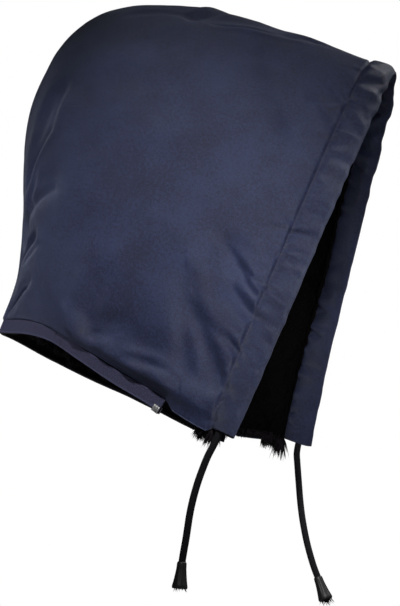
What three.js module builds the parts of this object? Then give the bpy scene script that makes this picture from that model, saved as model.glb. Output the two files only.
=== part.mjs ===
import * as THREE from 'three';
import { mergeVertices } from 'three/addons/utils/BufferGeometryUtils.js';

// A detachable storm hood, stuffed to the shape it has when it is worn.
// X runs from the wearer's right (-X) to the left, the face looks along -Y and +Z is up.
// The form is worked out from the middle of the throat, and the finished hood is then moved
// so that its origin lies inside the crown, where a head carries it.
// All lengths are in millimetres.

// Driving dimensions of the form
const HOOD_HEIGHT = 388;
const HOOD_DEPTH = 248;
const HALF_WIDTH = 90;
const HANG_TILT = 11;
const FOLD_DEPTH = 9;

// Driving dimensions of the cloth
const SHELL_WALL = 2;
const PILE_WALL = 6.5;
const PILE_CLUMP = 1.1;
const FRINGE_LENGTH = 5.5;
const FRINGE_RAG = 3;
const HEM_WIDTH = 24;
const HEM_THICKNESS = 8.4;
const HEM_LEAF = 1.1;
const HEM_PUCKER = 0.9;
const GAP = 0.3;

// Inside the casing, the cloth is folded back by so many leaves at the face edge, and closed
// by so many at the stitch line
const FOLD_LEAVES = 1.5;
const STITCH_LEAVES = 2;

// Driving dimensions of the zip half
const TAPE_HEIGHT = 12;
const TAPE_WALL = 1.2;
const TAPE_INSET = 0.4;
const TAPE_SETBACK = 55;
const COIL_HEIGHT = 3.2;
const COIL_WALL = 2;
const COIL_PROUD = 0.6;
const STOP_LENGTH = 6.5;
const STOP_HEIGHT = 4.8;
const STOP_WALL = 0.8;

// Driving dimensions of the cord and its ends
const CORD_DIAMETER = 5.5;
const CORD_SEAT = 5;
const CORD_STEP = 2.6;
const CORD_SIDES = 8;
const END_LENGTH = 21;
const END_MOUTH = 12.2;
const END_NECK = 7.4;
const END_WALL = 1.2;
const END_SOCKET = 7;
const END_SIDES = 12;

// How finely the cloth is divided: rows from the neck to the crown seam, columns front to back
const ROWS = 22;
const COLUMNS = 15;
const SEAM_CROWDING = 1.35;
const NORMAL_PASSES = 3;
const NEIGHBOUR_WEIGHT = 0.5;

// The arches of the hood, from the face opening to the nape. Each is half a rib, from the neck
// edge up to the crown seam. Heights are shares of HOOD_HEIGHT, places from front to back are
// shares of HOOD_DEPTH, lift is a share of HANG_TILT and the others are shares of HALF_WIDTH.
const ARCH_COLUMNS = ['seamY', 'seamZ', 'neckY', 'neckZ', 'lift', 'foot', 'belly', 'dome'];
const ARCHES = [
  [-0.432, 0.772, 0.018, -0.015, -0.8, 1.12, 0.632, 0.26],
  [-0.309, 0.809, 0.124, 0.01, -0.59, 0.999, 0.922, 0.389],
  [-0.144, 0.864, 0.219, 0.032, -0.12, 0.996, 1.033, 0.582],
  [0.062, 0.926, 0.303, 0.055, 0.36, 0.977, 1.12, 0.784],
  [0.29, 0.977, 0.38, 0.079, 0.5, 0.956, 1.18, 0.917],
  [0.512, 0.996, 0.453, 0.103, 0.58, 0.932, 1.214, 1.018],
  [0.706, 0.957, 0.521, 0.128, 0.66, 0.903, 1.212, 1.016],
  [0.822, 0.875, 0.585, 0.153, 0.77, 0.876, 1.168, 0.921],
  [0.883, 0.772, 0.648, 0.178, 0.89, 0.849, 1.101, 0.828],
  [0.888, 0.652, 0.711, 0.2, 0.97, 0.8, 0.954, 0.641],
  [0.894, 0.525, 0.778, 0.219, 0.9, 0.733, 0.817, 0.508],
  [0.923, 0.4, 0.844, 0.237, 0.72, 0.633, 0.627, 0.35],
  [1.005, 0.285, 0.909, 0.254, 0.45, 0.501, 0.443, 0.221],
];

// Dents and folds of the cloth. side is -1 right, 1 left and 0 both. up is the share of the way
// from the neck edge to the crown seam and back the share from the face edge to the nape, at
// the two ends of the fold. depth is a share of FOLD_DEPTH, below zero for a ridge, and breadth
// is a share of HOOD_DEPTH.
const FOLD_COLUMNS = ['side', 'up', 'back', 'toUp', 'toBack', 'depth', 'breadth'];
const FOLDS = [
  [0, 0.06, 0.2, 0.07, 0.5, 0.8, 0.085],
  [0, 0.19, 0.17, 0.09, 0.12, 0.5, 0.05],
  [-1, 0.38, 0.16, 0.3, 0.12, 0.55, 0.055],
  [1, 0.44, 0.17, 0.34, 0.13, 0.5, 0.06],
  [-1, 0.68, 0.52, 0.53, 0.66, 0.5, 0.055],
  [-1, 0.62, 0.6, 0.47, 0.72, -0.4, 0.05],
  [-1, 0.44, 0.56, 0.48, 0.78, 0.55, 0.06],
  [-1, 0.36, 0.7, 0.45, 0.86, 0.45, 0.045],
  [1, 0.62, 0.55, 0.52, 0.72, 0.55, 0.06],
  [1, 0.4, 0.6, 0.48, 0.82, 0.5, 0.055],
  [0, 0.23, 0.82, 0.27, 0.96, 0.4, 0.045],
  [-1, 0.9, 0.32, 0.96, 0.22, 0.5, 0.05],
  [1, 0.92, 0.34, 0.95, 0.2, 0.45, 0.055],
  [0, 0.84, 0.2, 0.72, 0.13, 0.35, 0.06],
];

// Section of the casing: back is the share of HEM_WIDTH from the face edge, outer and inner are
// the depths of its two faces below the shell's outside, as shares of HEM_THICKNESS.
const HEM_COLUMNS = ['back', 'outer', 'inner'];
const HEM_SECTION = [
  [0, 0.16, 0.46],
  [0.1, 0, 0.68],
  [0.28, -0.1, 0.86],
  [0.5, -0.13, 0.91],
  [0.74, -0.12, 0.9],
  [0.9, -0.04, 0.72],
  [1, 0.03, 0.5],
];

// Profile of a cord end from its neck down: down is a share of END_LENGTH, and flare the share
// of the way from END_NECK to END_MOUTH. Its mouth is hollow for END_HOLLOW of what the socket
// leaves of its length.
const END_COLUMNS = ['down', 'flare'];
const END_PROFILE = [
  [0, -0.2],
  [0.04, 0],
  [0.28, 0.08],
  [0.62, 0.55],
  [0.9, 1],
  [1, 0.75],
];
const END_HOLLOW = 0.3;

// Where on the crown seam the head carries the hood, as a share of HOOD_DEPTH
const SEAT_BACK = 0.4026;

// Where in the casing each cord lies, as a share of HEM_WIDTH back from the face edge
const RIGHT_CORD_BACK = 0.68;
const LEFT_CORD_BACK = 0.42;

// Points that the free cords follow below the casing: across, forward and down from the mouth
const RIGHT_CORD_POINTS = [
  [-1.1, 4.6, -11],
  [-0.8, 9.3, -19],
  [-0.3, 13.5, -28],
  [0.2, 17.3, -37],
  [0.6, 20.6, -46.5],
  [0.9, 23.3, -56],
  [1.1, 25.3, -65],
  [1.2, 26.8, -74],
  [1.2, 28.3, -83],
  [1.1, 30.0, -92],
  [1.0, 31.2, -99.5],
  [1.0, 31.9, -106],
];
const LEFT_CORD_POINTS = [
  [1.8, 2.4, -10],
  [1.7, 2.0, -17],
  [1.3, 1.3, -26],
  [0.9, 0.5, -36],
  [0.5, -0.3, -46],
  [0.2, -1.3, -56],
  [0.0, -2.6, -66],
  [-0.1, -4.4, -76.5],
  [-0.2, -6.6, -87],
  [-0.2, -9.2, -97],
  [-0.2, -12.4, -107.5],
  [-0.2, -15.8, -116.5],
  [-0.2, -18.0, -122.5],
];

const finishes = {
  shell_fabric: { color: 0x2b3147, roughness: 0.62, metalness: 0 },
  hem_fabric: { color: 0x282e43, roughness: 0.62, metalness: 0 },
  pile: { color: 0x08080a, roughness: 1, metalness: 0 },
  zip_tape: { color: 0x27283c, roughness: 0.85, metalness: 0 },
  zip_coil: { color: 0x14151f, roughness: 0.5, metalness: 0 },
  zip_metal: { color: 0xd6d8da, roughness: 0.3, metalness: 1 },
  cord: { color: 0x17181c, roughness: 0.9, metalness: 0 },
  cord_end: { color: 0x111214, roughness: 0.45, metalness: 0 },
};

// Tables and curves

function named(columns, row) {
  return Object.fromEntries(columns.map((column, i) => [column, row[i]]));
}

// Blends the rows of a table smoothly: share 0 is the first row and 1 the last
function blendRows(table, share) {
  const last = table.length - 1;
  const place = Math.min(Math.max(share, 0), 1) * last;
  const i = Math.min(Math.floor(place), last - 1);
  const f = place - i;
  const before = i > 0 ? table[i - 1] : table[0].map((value, c) => 2 * value - table[1][c]);
  const after = i < last - 1 ? table[i + 2]
    : table[last].map((value, c) => 2 * value - table[last - 1][c]);
  return table[i].map((value, c) => {
    const next = table[i + 1][c];
    const slope = (next - before[c]) / 2;
    const nextSlope = (after[c] - value) / 2;
    const rise = next - value;
    return value + slope * f + (3 * rise - 2 * slope - nextSlope) * f * f
      + (slope + nextSlope - 2 * rise) * f * f * f;
  });
}

// Half a rib of the hood as one curve, from the neck edge to the crown seam
function halfRib(side, share) {
  const arch = named(ARCH_COLUMNS, blendRows(ARCHES, share));
  const neck = new THREE.Vector3(
    side * arch.foot * HALF_WIDTH,
    arch.neckY * HOOD_DEPTH,
    arch.neckZ * HOOD_HEIGHT - side * arch.lift * HANG_TILT,
  );
  const seam = new THREE.Vector3(0, arch.seamY * HOOD_DEPTH, arch.seamZ * HOOD_HEIGHT);
  const low = neck.clone().lerp(seam, 1 / 3);
  low.x = side * arch.belly * HALF_WIDTH;
  const high = seam.clone();
  high.x = side * arch.dome * HALF_WIDTH;
  return new THREE.CubicBezierCurve3(neck, low, high, seam);
}

// How far the folds push the cloth in at a place
function foldDepth(side, up, back) {
  const upLength = HOOD_HEIGHT;
  const backLength = HOOD_DEPTH * (1 + up);
  const here = new THREE.Vector2(up * upLength, back * backLength);
  let depth = 0;
  for (const row of FOLDS) {
    const fold = named(FOLD_COLUMNS, row);
    if (fold.side !== 0 && fold.side !== side) continue;
    const start = new THREE.Vector2(fold.up * upLength, fold.back * backLength);
    const along = new THREE.Vector2(fold.toUp * upLength, fold.toBack * backLength).sub(start);
    const share = THREE.MathUtils.clamp(
      here.clone().sub(start).dot(along) / along.lengthSq(), 0, 1);
    const away = here.distanceTo(start.addScaledVector(along, share));
    const ease = Math.exp(-((away / (fold.breadth * HOOD_DEPTH)) ** 2));
    depth += fold.depth * FOLD_DEPTH * ease;
  }
  return depth;
}

// The cloth as a net of nodes

const HEM_COLUMNS_COUNT = HEM_SECTION.length;
const LAST_COLUMN = HEM_COLUMNS_COUNT + COLUMNS;

// Rows lie closer together towards the crown seam, where the cloth bends most
function rowShare(row) {
  return 1 - (1 - row / ROWS) ** SEAM_CROWDING;
}

// The shares, front to back, at which a row is the given lengths away from the face edge
function sharesAtLengths(side, up, lengths) {
  const samples = 16;
  const reach = 0.16;
  const points = [];
  for (let i = 0; i <= samples; i += 1) {
    points.push(halfRib(side, (reach * i) / samples).getPointAt(up));
  }
  const run = [0];
  for (let i = 1; i <= samples; i += 1) {
    run.push(run[i - 1] + points[i].distanceTo(points[i - 1]));
  }
  return lengths.map((length) => {
    let i = 1;
    while (i < samples && run[i] < length) i += 1;
    const f = (length - run[i - 1]) / (run[i] - run[i - 1]);
    return (reach * (i - 1 + f)) / samples;
  });
}

// One half of the hood: net[row][column] is a point on the outside of the cloth. The first
// columns are the casing's, and the others the panel's.
function makeNet(side) {
  const hemLengths = HEM_SECTION.map((row) => named(HEM_COLUMNS, row).back * HEM_WIDTH);
  const lengths = [...hemLengths, HEM_WIDTH + GAP];
  const net = [];
  for (let row = 0; row <= ROWS; row += 1) {
    const up = rowShare(row);
    const shares = sharesAtLengths(side, up, lengths);
    const front = shares[shares.length - 1];
    for (let column = 1; column <= COLUMNS; column += 1) {
      shares.push(front + ((1 - front) * column) / COLUMNS);
    }
    net.push(shares.map((share, column) => {
      const point = halfRib(side, share).getPointAt(up);
      return { point, dent: column < lengths.length ? 0 : foldDepth(side, up, share) };
    }));
  }
  return net;
}

// Gives each node of a net the normal of the cloth round it, averaged over its triangles. The
// corner where the neck edge meets the last arch in one line takes its neighbour's.
function addNormals(net, side) {
  const cross = new THREE.Vector3();
  net.forEach((line) => line.forEach((node) => { node.normal = new THREE.Vector3(); }));
  for (let row = 0; row < net.length - 1; row += 1) {
    for (let column = 0; column < net[row].length - 1; column += 1) {
      const a = net[row][column];
      const b = net[row][column + 1];
      const c = net[row + 1][column + 1];
      const d = net[row + 1][column];
      for (const [p, q, r] of [[a, b, c], [a, c, d]]) {
        const pq = q.point.clone().sub(p.point);
        cross.crossVectors(pq, r.point.clone().sub(p.point)).multiplyScalar(side);
        [p, q, r].forEach((node) => node.normal.add(cross));
      }
    }
  }
  net[0][LAST_COLUMN].normal.copy(net[1][LAST_COLUMN].normal);
}

// Moves each node in by its dent, so that the folds are in the form itself
function pressFolds(net) {
  net.forEach((line) => line.forEach((node) => {
    node.point.addScaledVector(node.normal.clone().normalize(), -node.dent);
  }));
}

const nets = { right: makeNet(-1), left: makeNet(1) };

// The two halves share the crown seam: its nodes lie in the middle plane
function joinAtSeam() {
  nets.right[ROWS].forEach((node, column) => {
    const other = nets.left[ROWS][column];
    const sum = node.normal.clone().add(other.normal).setX(0).normalize();
    node.normal.copy(sum);
    other.normal.copy(sum);
    node.point.add(other.point).multiplyScalar(0.5).setX(0);
    other.point.copy(node.point);
  });
  [nets.right, nets.left].forEach((net) => net.slice(0, ROWS).forEach(
    (line) => line.forEach((node) => node.normal.normalize())));
}

// Evens the normals out between neighbours, because the cells are slim where the arches leave
// the neck edge at the nape
function smoothNormals() {
  for (const net of [nets.right, nets.left]) {
    for (let pass = 0; pass < NORMAL_PASSES; pass += 1) {
      const before = net.map((line) => line.map((node) => node.normal.clone()));
      net.slice(0, ROWS).forEach((line, row) => line.forEach((node, column) => {
        const near = [before[row + 1][column], before[Math.max(row - 1, 0)][column],
          before[row][Math.max(column - 1, 0)], before[row][Math.min(column + 1, LAST_COLUMN)]];
        near.forEach((normal) => node.normal.addScaledVector(normal, NEIGHBOUR_WEIGHT));
        node.normal.normalize();
      }));
    }
  }
}

// Casing and panel lie side by side, so their nodes at the stitch line share one normal
function joinAtStitchLine() {
  [nets.right, nets.left].forEach((net) => net.forEach((line) => {
    const casing = line[HEM_COLUMNS_COUNT - 1].normal;
    const panel = line[HEM_COLUMNS_COUNT].normal;
    casing.add(panel).normalize();
    panel.copy(casing);
  }));
}
addNormals(nets.right, -1);
addNormals(nets.left, 1);
pressFolds(nets.right);
pressFolds(nets.left);
addNormals(nets.right, -1);
addNormals(nets.left, 1);
joinAtSeam();
smoothNormals();
joinAtStitchLine();

function inside(node, depth) {
  return node.point.clone().addScaledVector(node.normal, -depth);
}

// Closed solids from grids of points

function geometryOf(points, faces) {
  const geometry = new THREE.BufferGeometry();
  geometry.setAttribute('position', new THREE.Float32BufferAttribute(
    points.flatMap((p) => [p.x, p.y, p.z]), 3));
  geometry.setIndex(faces.flat());
  return faceOut(mergeVertices(geometry, 1e-4));
}

// Turns all faces round if the solid would be inside out
function faceOut(geometry) {
  const index = geometry.index.array;
  const at = geometry.attributes.position;
  const [a, b, c] = [new THREE.Vector3(), new THREE.Vector3(), new THREE.Vector3()];
  let volume = 0;
  for (let i = 0; i < index.length; i += 3) {
    a.fromBufferAttribute(at, index[i]);
    b.fromBufferAttribute(at, index[i + 1]);
    c.fromBufferAttribute(at, index[i + 2]);
    volume += a.dot(b.cross(c));
  }
  if (volume < 0) {
    for (let i = 0; i < index.length; i += 3) {
      [index[i + 1], index[i + 2]] = [index[i + 2], index[i + 1]];
    }
  }
  geometry.computeVertexNormals();
  return geometry;
}

// Triangles between two neighbouring lines of a grid, closed into a ring where asked. Where
// turned, each cell is parted along its other diagonal.
function strip(from, to, count, closed, turned = false) {
  const faces = [];
  const cells = closed ? count : count - 1;
  for (let i = 0; i < cells; i += 1) {
    const j = (i + 1) % count;
    if (turned) faces.push([from + i, from + j, to + i], [from + j, to + j, to + i]);
    else faces.push([from + i, from + j, to + j], [from + i, to + j, to + i]);
  }
  return faces;
}

// A wall of cloth between an outer and an inner grid of points. From the line turnAt on, its
// cells are parted the other way, so that walls that lie on each other are parted alike.
function wallGeometry(outer, inner, turnAt = Infinity) {
  const lines = outer.length;
  const count = outer[0].length;
  const points = [...outer.flat(), ...inner.flat()];
  const offset = lines * count;
  const faces = [];
  for (let line = 0; line < lines - 1; line += 1) {
    const from = line * count;
    const turned = line >= turnAt;
    faces.push(...strip(from, from + count, count, false, turned));
    faces.push(...strip(offset + from, offset + from + count, count, false, turned)
      .map(([a, b, c]) => [a, c, b]));
  }
  const rim = [];
  for (let i = 0; i < count; i += 1) rim.push(i);
  for (let line = 1; line < lines; line += 1) rim.push(line * count + count - 1);
  for (let i = count - 2; i >= 0; i -= 1) rim.push((lines - 1) * count + i);
  for (let line = lines - 2; line > 0; line -= 1) rim.push(line * count);
  rim.forEach((here, i) => {
    const next = rim[(i + 1) % rim.length];
    faces.push([here, offset + next, next], [here, offset + here, offset + next]);
  });
  return geometryOf(points, faces);
}

// A solid through loops of points, closed by a face at each end
function loftGeometry(loops) {
  const count = loops[0].length;
  const points = loops.flat();
  const faces = [];
  for (let line = 0; line < loops.length - 1; line += 1) {
    faces.push(...strip(line * count, (line + 1) * count, count, true));
  }
  const end = (loops.length - 1) * count;
  for (let i = 1; i < count - 1; i += 1) {
    faces.push([0, i + 1, i], [end, end + i, end + i + 1]);
  }
  return geometryOf(points, faces.map(([a, b, c]) => [a, c, b]));
}

// A tube through loops of points with a hollow through inner loops, open at both ends
function hollowLoftGeometry(loops, hollows) {
  const count = loops[0].length;
  const points = [...loops.flat(), ...hollows.flat()];
  const offset = loops.length * count;
  const faces = [];
  for (let line = 0; line < loops.length - 1; line += 1) {
    faces.push(...strip(line * count, (line + 1) * count, count, true));
    faces.push(...strip(offset + line * count, offset + (line + 1) * count, count, true)
      .map(([a, b, c]) => [a, c, b]));
  }
  const end = (loops.length - 1) * count;
  faces.push(...strip(offset, 0, count, true));
  faces.push(...strip(end, offset + end, count, true));
  return geometryOf(points, faces);
}

const hood = new THREE.Group();

function addPiece(name, geometry, finish) {
  const mesh = new THREE.Mesh(geometry, new THREE.MeshStandardMaterial(finishes[finish]));
  mesh.name = name;
  hood.add(mesh);
  return mesh;
}

// The two cloth halves, with a hair of room between them at the crown seam
function shellGeometry(net, side) {
  const grid = (depth) => net.map((line) => line.slice(HEM_COLUMNS_COUNT).map((node) => {
    const point = inside(node, depth);
    point.x = side * Math.max(side * point.x, GAP / 2);
    return point;
  }));
  return wallGeometry(grid(0), grid(SHELL_WALL));
}

// The casing round the face opening: its outer leaf stands proud of the shell, it is folded at
// the face edge and closed again by the stitch line, and it is hollow for the cord.
const wholeRows = [
  ...nets.right,
  ...nets.left.slice(0, ROWS).reverse(),
];

// Small gathers along the casing, two rows to a gather and uneven in depth. They fade out over
// the rows nearest to its mouths.
function hemPucker(row) {
  const fadeRows = 3;
  const uneven = 0.4;
  const turn = 1.7;
  const fromMouth = Math.min(row, wholeRows.length - 1 - row);
  const ease = THREE.MathUtils.smoothstep(fromMouth, 0, fadeRows);
  const size = 1 - uneven + uneven * Math.sin(row * turn);
  return HEM_PUCKER * ease * size * Math.cos(Math.PI * row);
}

// The depths of the casing's two faces at a share of its width from the face edge
function hemDepths(share) {
  let i = 1;
  while (i < HEM_SECTION.length - 1 && HEM_SECTION[i][0] < share) i += 1;
  const from = HEM_SECTION[i - 1];
  const to = HEM_SECTION[i];
  const f = (share - from[0]) / (to[0] - from[0]);
  const row = named(HEM_COLUMNS, from.map((value, c) => value + (to[c] - value) * f));
  return { outer: row.outer * HEM_THICKNESS, inner: row.inner * HEM_THICKNESS };
}

// A point of the casing at a share of its width from the face edge and a depth below the cloth
function hemPoint(line, share, depth) {
  let i = 1;
  while (i < HEM_SECTION.length - 1 && HEM_SECTION[i][0] < share) i += 1;
  const f = (share - HEM_SECTION[i - 1][0]) / (HEM_SECTION[i][0] - HEM_SECTION[i - 1][0]);
  const point = line[i - 1].point.clone().lerp(line[i].point, f);
  const normal = line[i - 1].normal.clone().lerp(line[i].normal, f).normalize();
  return point.addScaledVector(normal, -depth);
}

// The middle of the tunnel at a share of the casing's width
function tunnelMiddle(line, share) {
  const { outer, inner } = hemDepths(share);
  return hemPoint(line, share, (outer + inner) / 2);
}

function hemGeometry() {
  const outerShares = HEM_SECTION.map(([back]) => back);
  const front = (FOLD_LEAVES * HEM_LEAF) / HEM_WIDTH;
  const back = 1 - (STITCH_LEAVES * HEM_LEAF) / HEM_WIDTH;
  const tunnelShares = outerShares.map((share) => front + share * (back - front));
  const ring = (line, shares, leaf, pucker) => [
    ...shares.map((share) => hemPoint(line, share, hemDepths(share).outer + leaf - pucker)),
    ...[...shares].reverse().map(
      (share) => hemPoint(line, share, hemDepths(share).inner - leaf - pucker)),
  ];
  const loops = wholeRows.map((line, row) => ring(line, outerShares, 0, hemPucker(row)));
  const hollows = wholeRows.map((line, row) => ring(line, tunnelShares, HEM_LEAF, hemPucker(row)));
  return hollowLoftGeometry(loops, hollows);
}

// The neck edge, from the right front corner round the nape to the left front corner. Each
// stop holds its point, the cloth's normal and the way down along the cloth.
function neckEdge() {
  const right = nets.right;
  const left = nets.left;
  const columns = [];
  for (let column = HEM_COLUMNS_COUNT; column <= LAST_COLUMN; column += 1) columns.push(column);
  const rows = [];
  for (let row = 1; row <= ROWS; row += 1) rows.push(row);
  const nodes = [
    ...columns.map((column) => right[0][column]),
    ...rows.map((row) => right[row][LAST_COLUMN]),
    ...rows.slice(0, -1).reverse().map((row) => left[row][LAST_COLUMN]),
    ...columns.slice().reverse().map((column) => left[0][column]),
  ];
  let run = 0;
  return nodes.map((node, i) => {
    const before = nodes[Math.max(i - 1, 0)].point;
    const after = nodes[Math.min(i + 1, nodes.length - 1)].point;
    if (i > 0) run += node.point.distanceTo(before);
    const along = after.clone().sub(before).normalize();
    const down = along.clone().cross(node.normal).normalize();
    if (down.z > 0) down.negate();
    return { point: node.point, normal: node.normal, down, run };
  });
}

// A stop at a given run along the neck edge, between its neighbours
function stopAt(stops, run) {
  let i = 1;
  while (i < stops.length - 1 && stops[i].run < run) i += 1;
  const a = stops[i - 1];
  const b = stops[i];
  const f = (run - a.run) / (b.run - a.run);
  return {
    point: a.point.clone().lerp(b.point, f),
    normal: a.normal.clone().lerp(b.normal, f).normalize(),
    down: a.down.clone().lerp(b.down, f).normalize(),
    run,
  };
}

// The stops that the tape and the coil run through. One that would fall close to an end of the
// tape is left out.
const edge = neckEdge();
const edgeLength = edge[edge.length - 1].run;
const tapeEnd = edgeLength - TAPE_SETBACK;
const STOP_ROOM = 2;
const tapeStops = [
  stopAt(edge, TAPE_SETBACK),
  ...edge.filter((stop) => stop.run > TAPE_SETBACK + STOP_ROOM && stop.run < tapeEnd - STOP_ROOM),
  stopAt(edge, tapeEnd),
];

function edgePoint(stop, down, depth) {
  return stop.point.clone().addScaledVector(stop.down, down).addScaledVector(stop.normal, -depth);
}

const TAPE_INNER = TAPE_INSET + TAPE_WALL;
const COIL_OUTER = TAPE_INNER + GAP;
const COIL_INNER = COIL_OUTER + COIL_WALL;
const COIL_BOTTOM = TAPE_HEIGHT + COIL_PROUD;
const COIL_TOP = COIL_BOTTOM - COIL_HEIGHT;

// A strip that follows the neck edge: its section is a list of heights below the edge and
// depths in the cloth. Tape and coil are parted at the same heights, so that they lie alike.
function edgeStrip(section) {
  return loftGeometry(tapeStops.map(
    (stop) => section.map(([down, depth]) => edgePoint(stop, down, depth))));
}

function tapeGeometry() {
  return edgeStrip([
    [GAP, TAPE_INSET],
    [TAPE_HEIGHT, TAPE_INSET],
    [TAPE_HEIGHT, TAPE_INNER],
    [COIL_TOP, TAPE_INNER],
    [GAP, TAPE_INNER],
  ]);
}

function coilGeometry() {
  return edgeStrip([
    [TAPE_HEIGHT, COIL_OUTER],
    [COIL_TOP, COIL_OUTER],
    [COIL_TOP, COIL_INNER],
    [COIL_BOTTOM, COIL_INNER],
    [COIL_BOTTOM, COIL_OUTER],
  ]);
}

// The stop is a clip of metal, bent round the lower edge of the tape and the coil at their end
function stopGeometry() {
  const outer = TAPE_INSET - GAP - STOP_WALL;
  const inner = COIL_INNER + GAP;
  const bottom = COIL_BOTTOM + GAP;
  const top = bottom - STOP_HEIGHT;
  const profile = [
    [top, outer],
    [bottom + STOP_WALL, outer],
    [bottom + STOP_WALL, inner + STOP_WALL],
    [top, inner + STOP_WALL],
    [top, inner],
    [bottom, inner],
    [bottom, outer + STOP_WALL],
    [top, outer + STOP_WALL],
  ];
  const shape = new THREE.Shape(profile.map(([down, depth]) => new THREE.Vector2(down, -depth)));
  const geometry = new THREE.ExtrudeGeometry(shape, { depth: STOP_LENGTH, bevelEnabled: false });
  const from = stopAt(edge, TAPE_SETBACK + GAP);
  const to = stopAt(edge, TAPE_SETBACK + GAP + STOP_LENGTH);
  const along = to.point.clone().sub(from.point).normalize();
  const middle = stopAt(edge, TAPE_SETBACK + GAP + STOP_LENGTH / 2);
  const out = middle.normal.clone().addScaledVector(along, -middle.normal.dot(along)).normalize();
  const down = along.clone().cross(out).normalize();
  if (down.dot(middle.down) < 0) down.negate();
  const frame = new THREE.Matrix4().makeBasis(down, out, down.clone().cross(out));
  const start = down.clone().cross(out).dot(along) > 0 ? from : to;
  frame.setPosition(start.point);
  return geometry.applyMatrix4(frame);
}

// The pile lining: one wall of pile inside both halves, clumped on its inner face. Below the
// front corners its edge hangs down in ragged locks.
const LINING_OUTER = SHELL_WALL + GAP;
const LINING_INNER = LINING_OUTER + PILE_WALL;

// How far the lining's edge hangs below the shell, at a run along the neck edge from the front.
// Behind the front corners it only just clears the seam. Two waves of different length make
// the locks ragged.
function fringeLength(run) {
  const seamShow = 1;
  const waves = Math.sin(run * 0.9) * Math.cos(run * 0.37);
  const ease = 1 - THREE.MathUtils.smoothstep(run, TAPE_SETBACK / 2, TAPE_SETBACK);
  return seamShow + ease * (FRINGE_LENGTH + FRINGE_RAG * waves);
}

// How far the pile stands out in clumps at a node
function clump(row, column) {
  return PILE_CLUMP * Math.sin(row * 2.3 + column) * Math.cos(column * 1.9);
}

function liningGeometry() {
  const panel = wholeRows.map((line) => line.slice(HEM_COLUMNS_COUNT));
  const hang = (line, fromFront) => line.map((node, column) => {
    const stop = fromFront[column];
    return { point: node.point.clone().addScaledVector(stop.down, stop.hang), normal: node.normal };
  });
  const stops = (list) => list.slice(0, COLUMNS + 1).map((stop) => {
    const run = Math.min(stop.run, edgeLength - stop.run);
    return { down: stop.down, hang: fringeLength(run) };
  });
  const rows = [
    hang(panel[0], stops(edge)),
    ...panel,
    hang(panel[panel.length - 1], stops([...edge].reverse())),
  ];
  const outer = rows.map((line) => line.map((node) => inside(node, LINING_OUTER)));
  const inner = rows.map((line, row) => line.map(
    (node, column) => inside(node, LINING_INNER + clump(row, column))));
  return wallGeometry(outer, inner, ROWS + 1);
}

// The mouth of the casing, where a cord comes out: its middle and the way up the tunnel
function casingMouth(row, next, back) {
  const mouth = tunnelMiddle(wholeRows[row], back);
  const up = tunnelMiddle(wholeRows[next], back).sub(mouth).normalize();
  return { mouth, up };
}

// A free cord: it starts a little way up the tunnel, leaves it straight and then follows its
// own points
function cordPath({ mouth, up }, points) {
  const lead = [CORD_SEAT, 0, -CORD_SEAT].map((rise) => mouth.clone().addScaledVector(up, rise));
  const free = points.map(([x, y, z]) => new THREE.Vector3(x, y, z).add(mouth));
  return new THREE.CatmullRomCurve3([...lead, ...free], false, 'centripetal');
}

function cordGeometry(path) {
  const section = new THREE.Shape();
  section.absarc(0, 0, CORD_DIAMETER / 2, 0, 2 * Math.PI, false);
  const outline = new THREE.Shape(section.getSpacedPoints(CORD_SIDES).slice(0, CORD_SIDES));
  const steps = Math.ceil(path.getLength() / (CORD_STEP * CORD_DIAMETER));
  return new THREE.ExtrudeGeometry(outline, { steps, bevelEnabled: false, extrudePath: path });
}

// A bell-shaped end: the cord goes into its neck, and it widens to a hollow mouth
function endGeometry() {
  const neck = END_NECK / 2;
  const mouth = END_MOUTH / 2;
  const bore = CORD_DIAMETER / 2 + GAP;
  const floor = END_SOCKET + GAP;
  const hollow = END_LENGTH - (END_LENGTH - floor) * END_HOLLOW;
  const outside = END_PROFILE.map((row) => {
    const { down, flare } = named(END_COLUMNS, row);
    return [neck + (mouth - neck) * flare, -END_LENGTH * down];
  });
  const rim = outside[outside.length - 1][0] - END_WALL / 2;
  const profile = [
    [0, -floor],
    [bore, -floor],
    [bore, 0],
    ...outside,
    [rim, -END_LENGTH],
    [rim - END_WALL, -hollow],
    [0, -hollow],
  ];
  const points = profile.map(([radius, height]) => new THREE.Vector2(radius, height));
  return new THREE.LatheGeometry(points.reverse(), END_SIDES);
}

function addCord(name, endName, mouth, points) {
  const path = cordPath(mouth, points);
  addPiece(name, cordGeometry(path), 'cord');
  const end = addPiece(endName, endGeometry(), 'cord_end');
  const along = path.getTangentAt(1);
  end.position.copy(path.getPointAt(1)).addScaledVector(along, -END_SOCKET);
  end.quaternion.setFromUnitVectors(new THREE.Vector3(0, 0, -1), along);
  end.geometry.rotateX(Math.PI / 2);
}

addPiece('shell_right', shellGeometry(nets.right, -1), 'shell_fabric');
addPiece('shell_left', shellGeometry(nets.left, 1), 'shell_fabric');
addPiece('face_hem', hemGeometry(), 'hem_fabric');
addPiece('pile_lining', liningGeometry(), 'pile');
addPiece('neck_tape', tapeGeometry(), 'zip_tape');
addPiece('zip_coil', coilGeometry(), 'zip_coil');
addPiece('zip_stop', stopGeometry(), 'zip_metal');
addCord('drawcord_right', 'cord_end_right',
  casingMouth(0, 1, RIGHT_CORD_BACK), RIGHT_CORD_POINTS);
addCord('drawcord_left', 'cord_end_left',
  casingMouth(wholeRows.length - 1, wholeRows.length - 2, LEFT_CORD_BACK), LEFT_CORD_POINTS);

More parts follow.
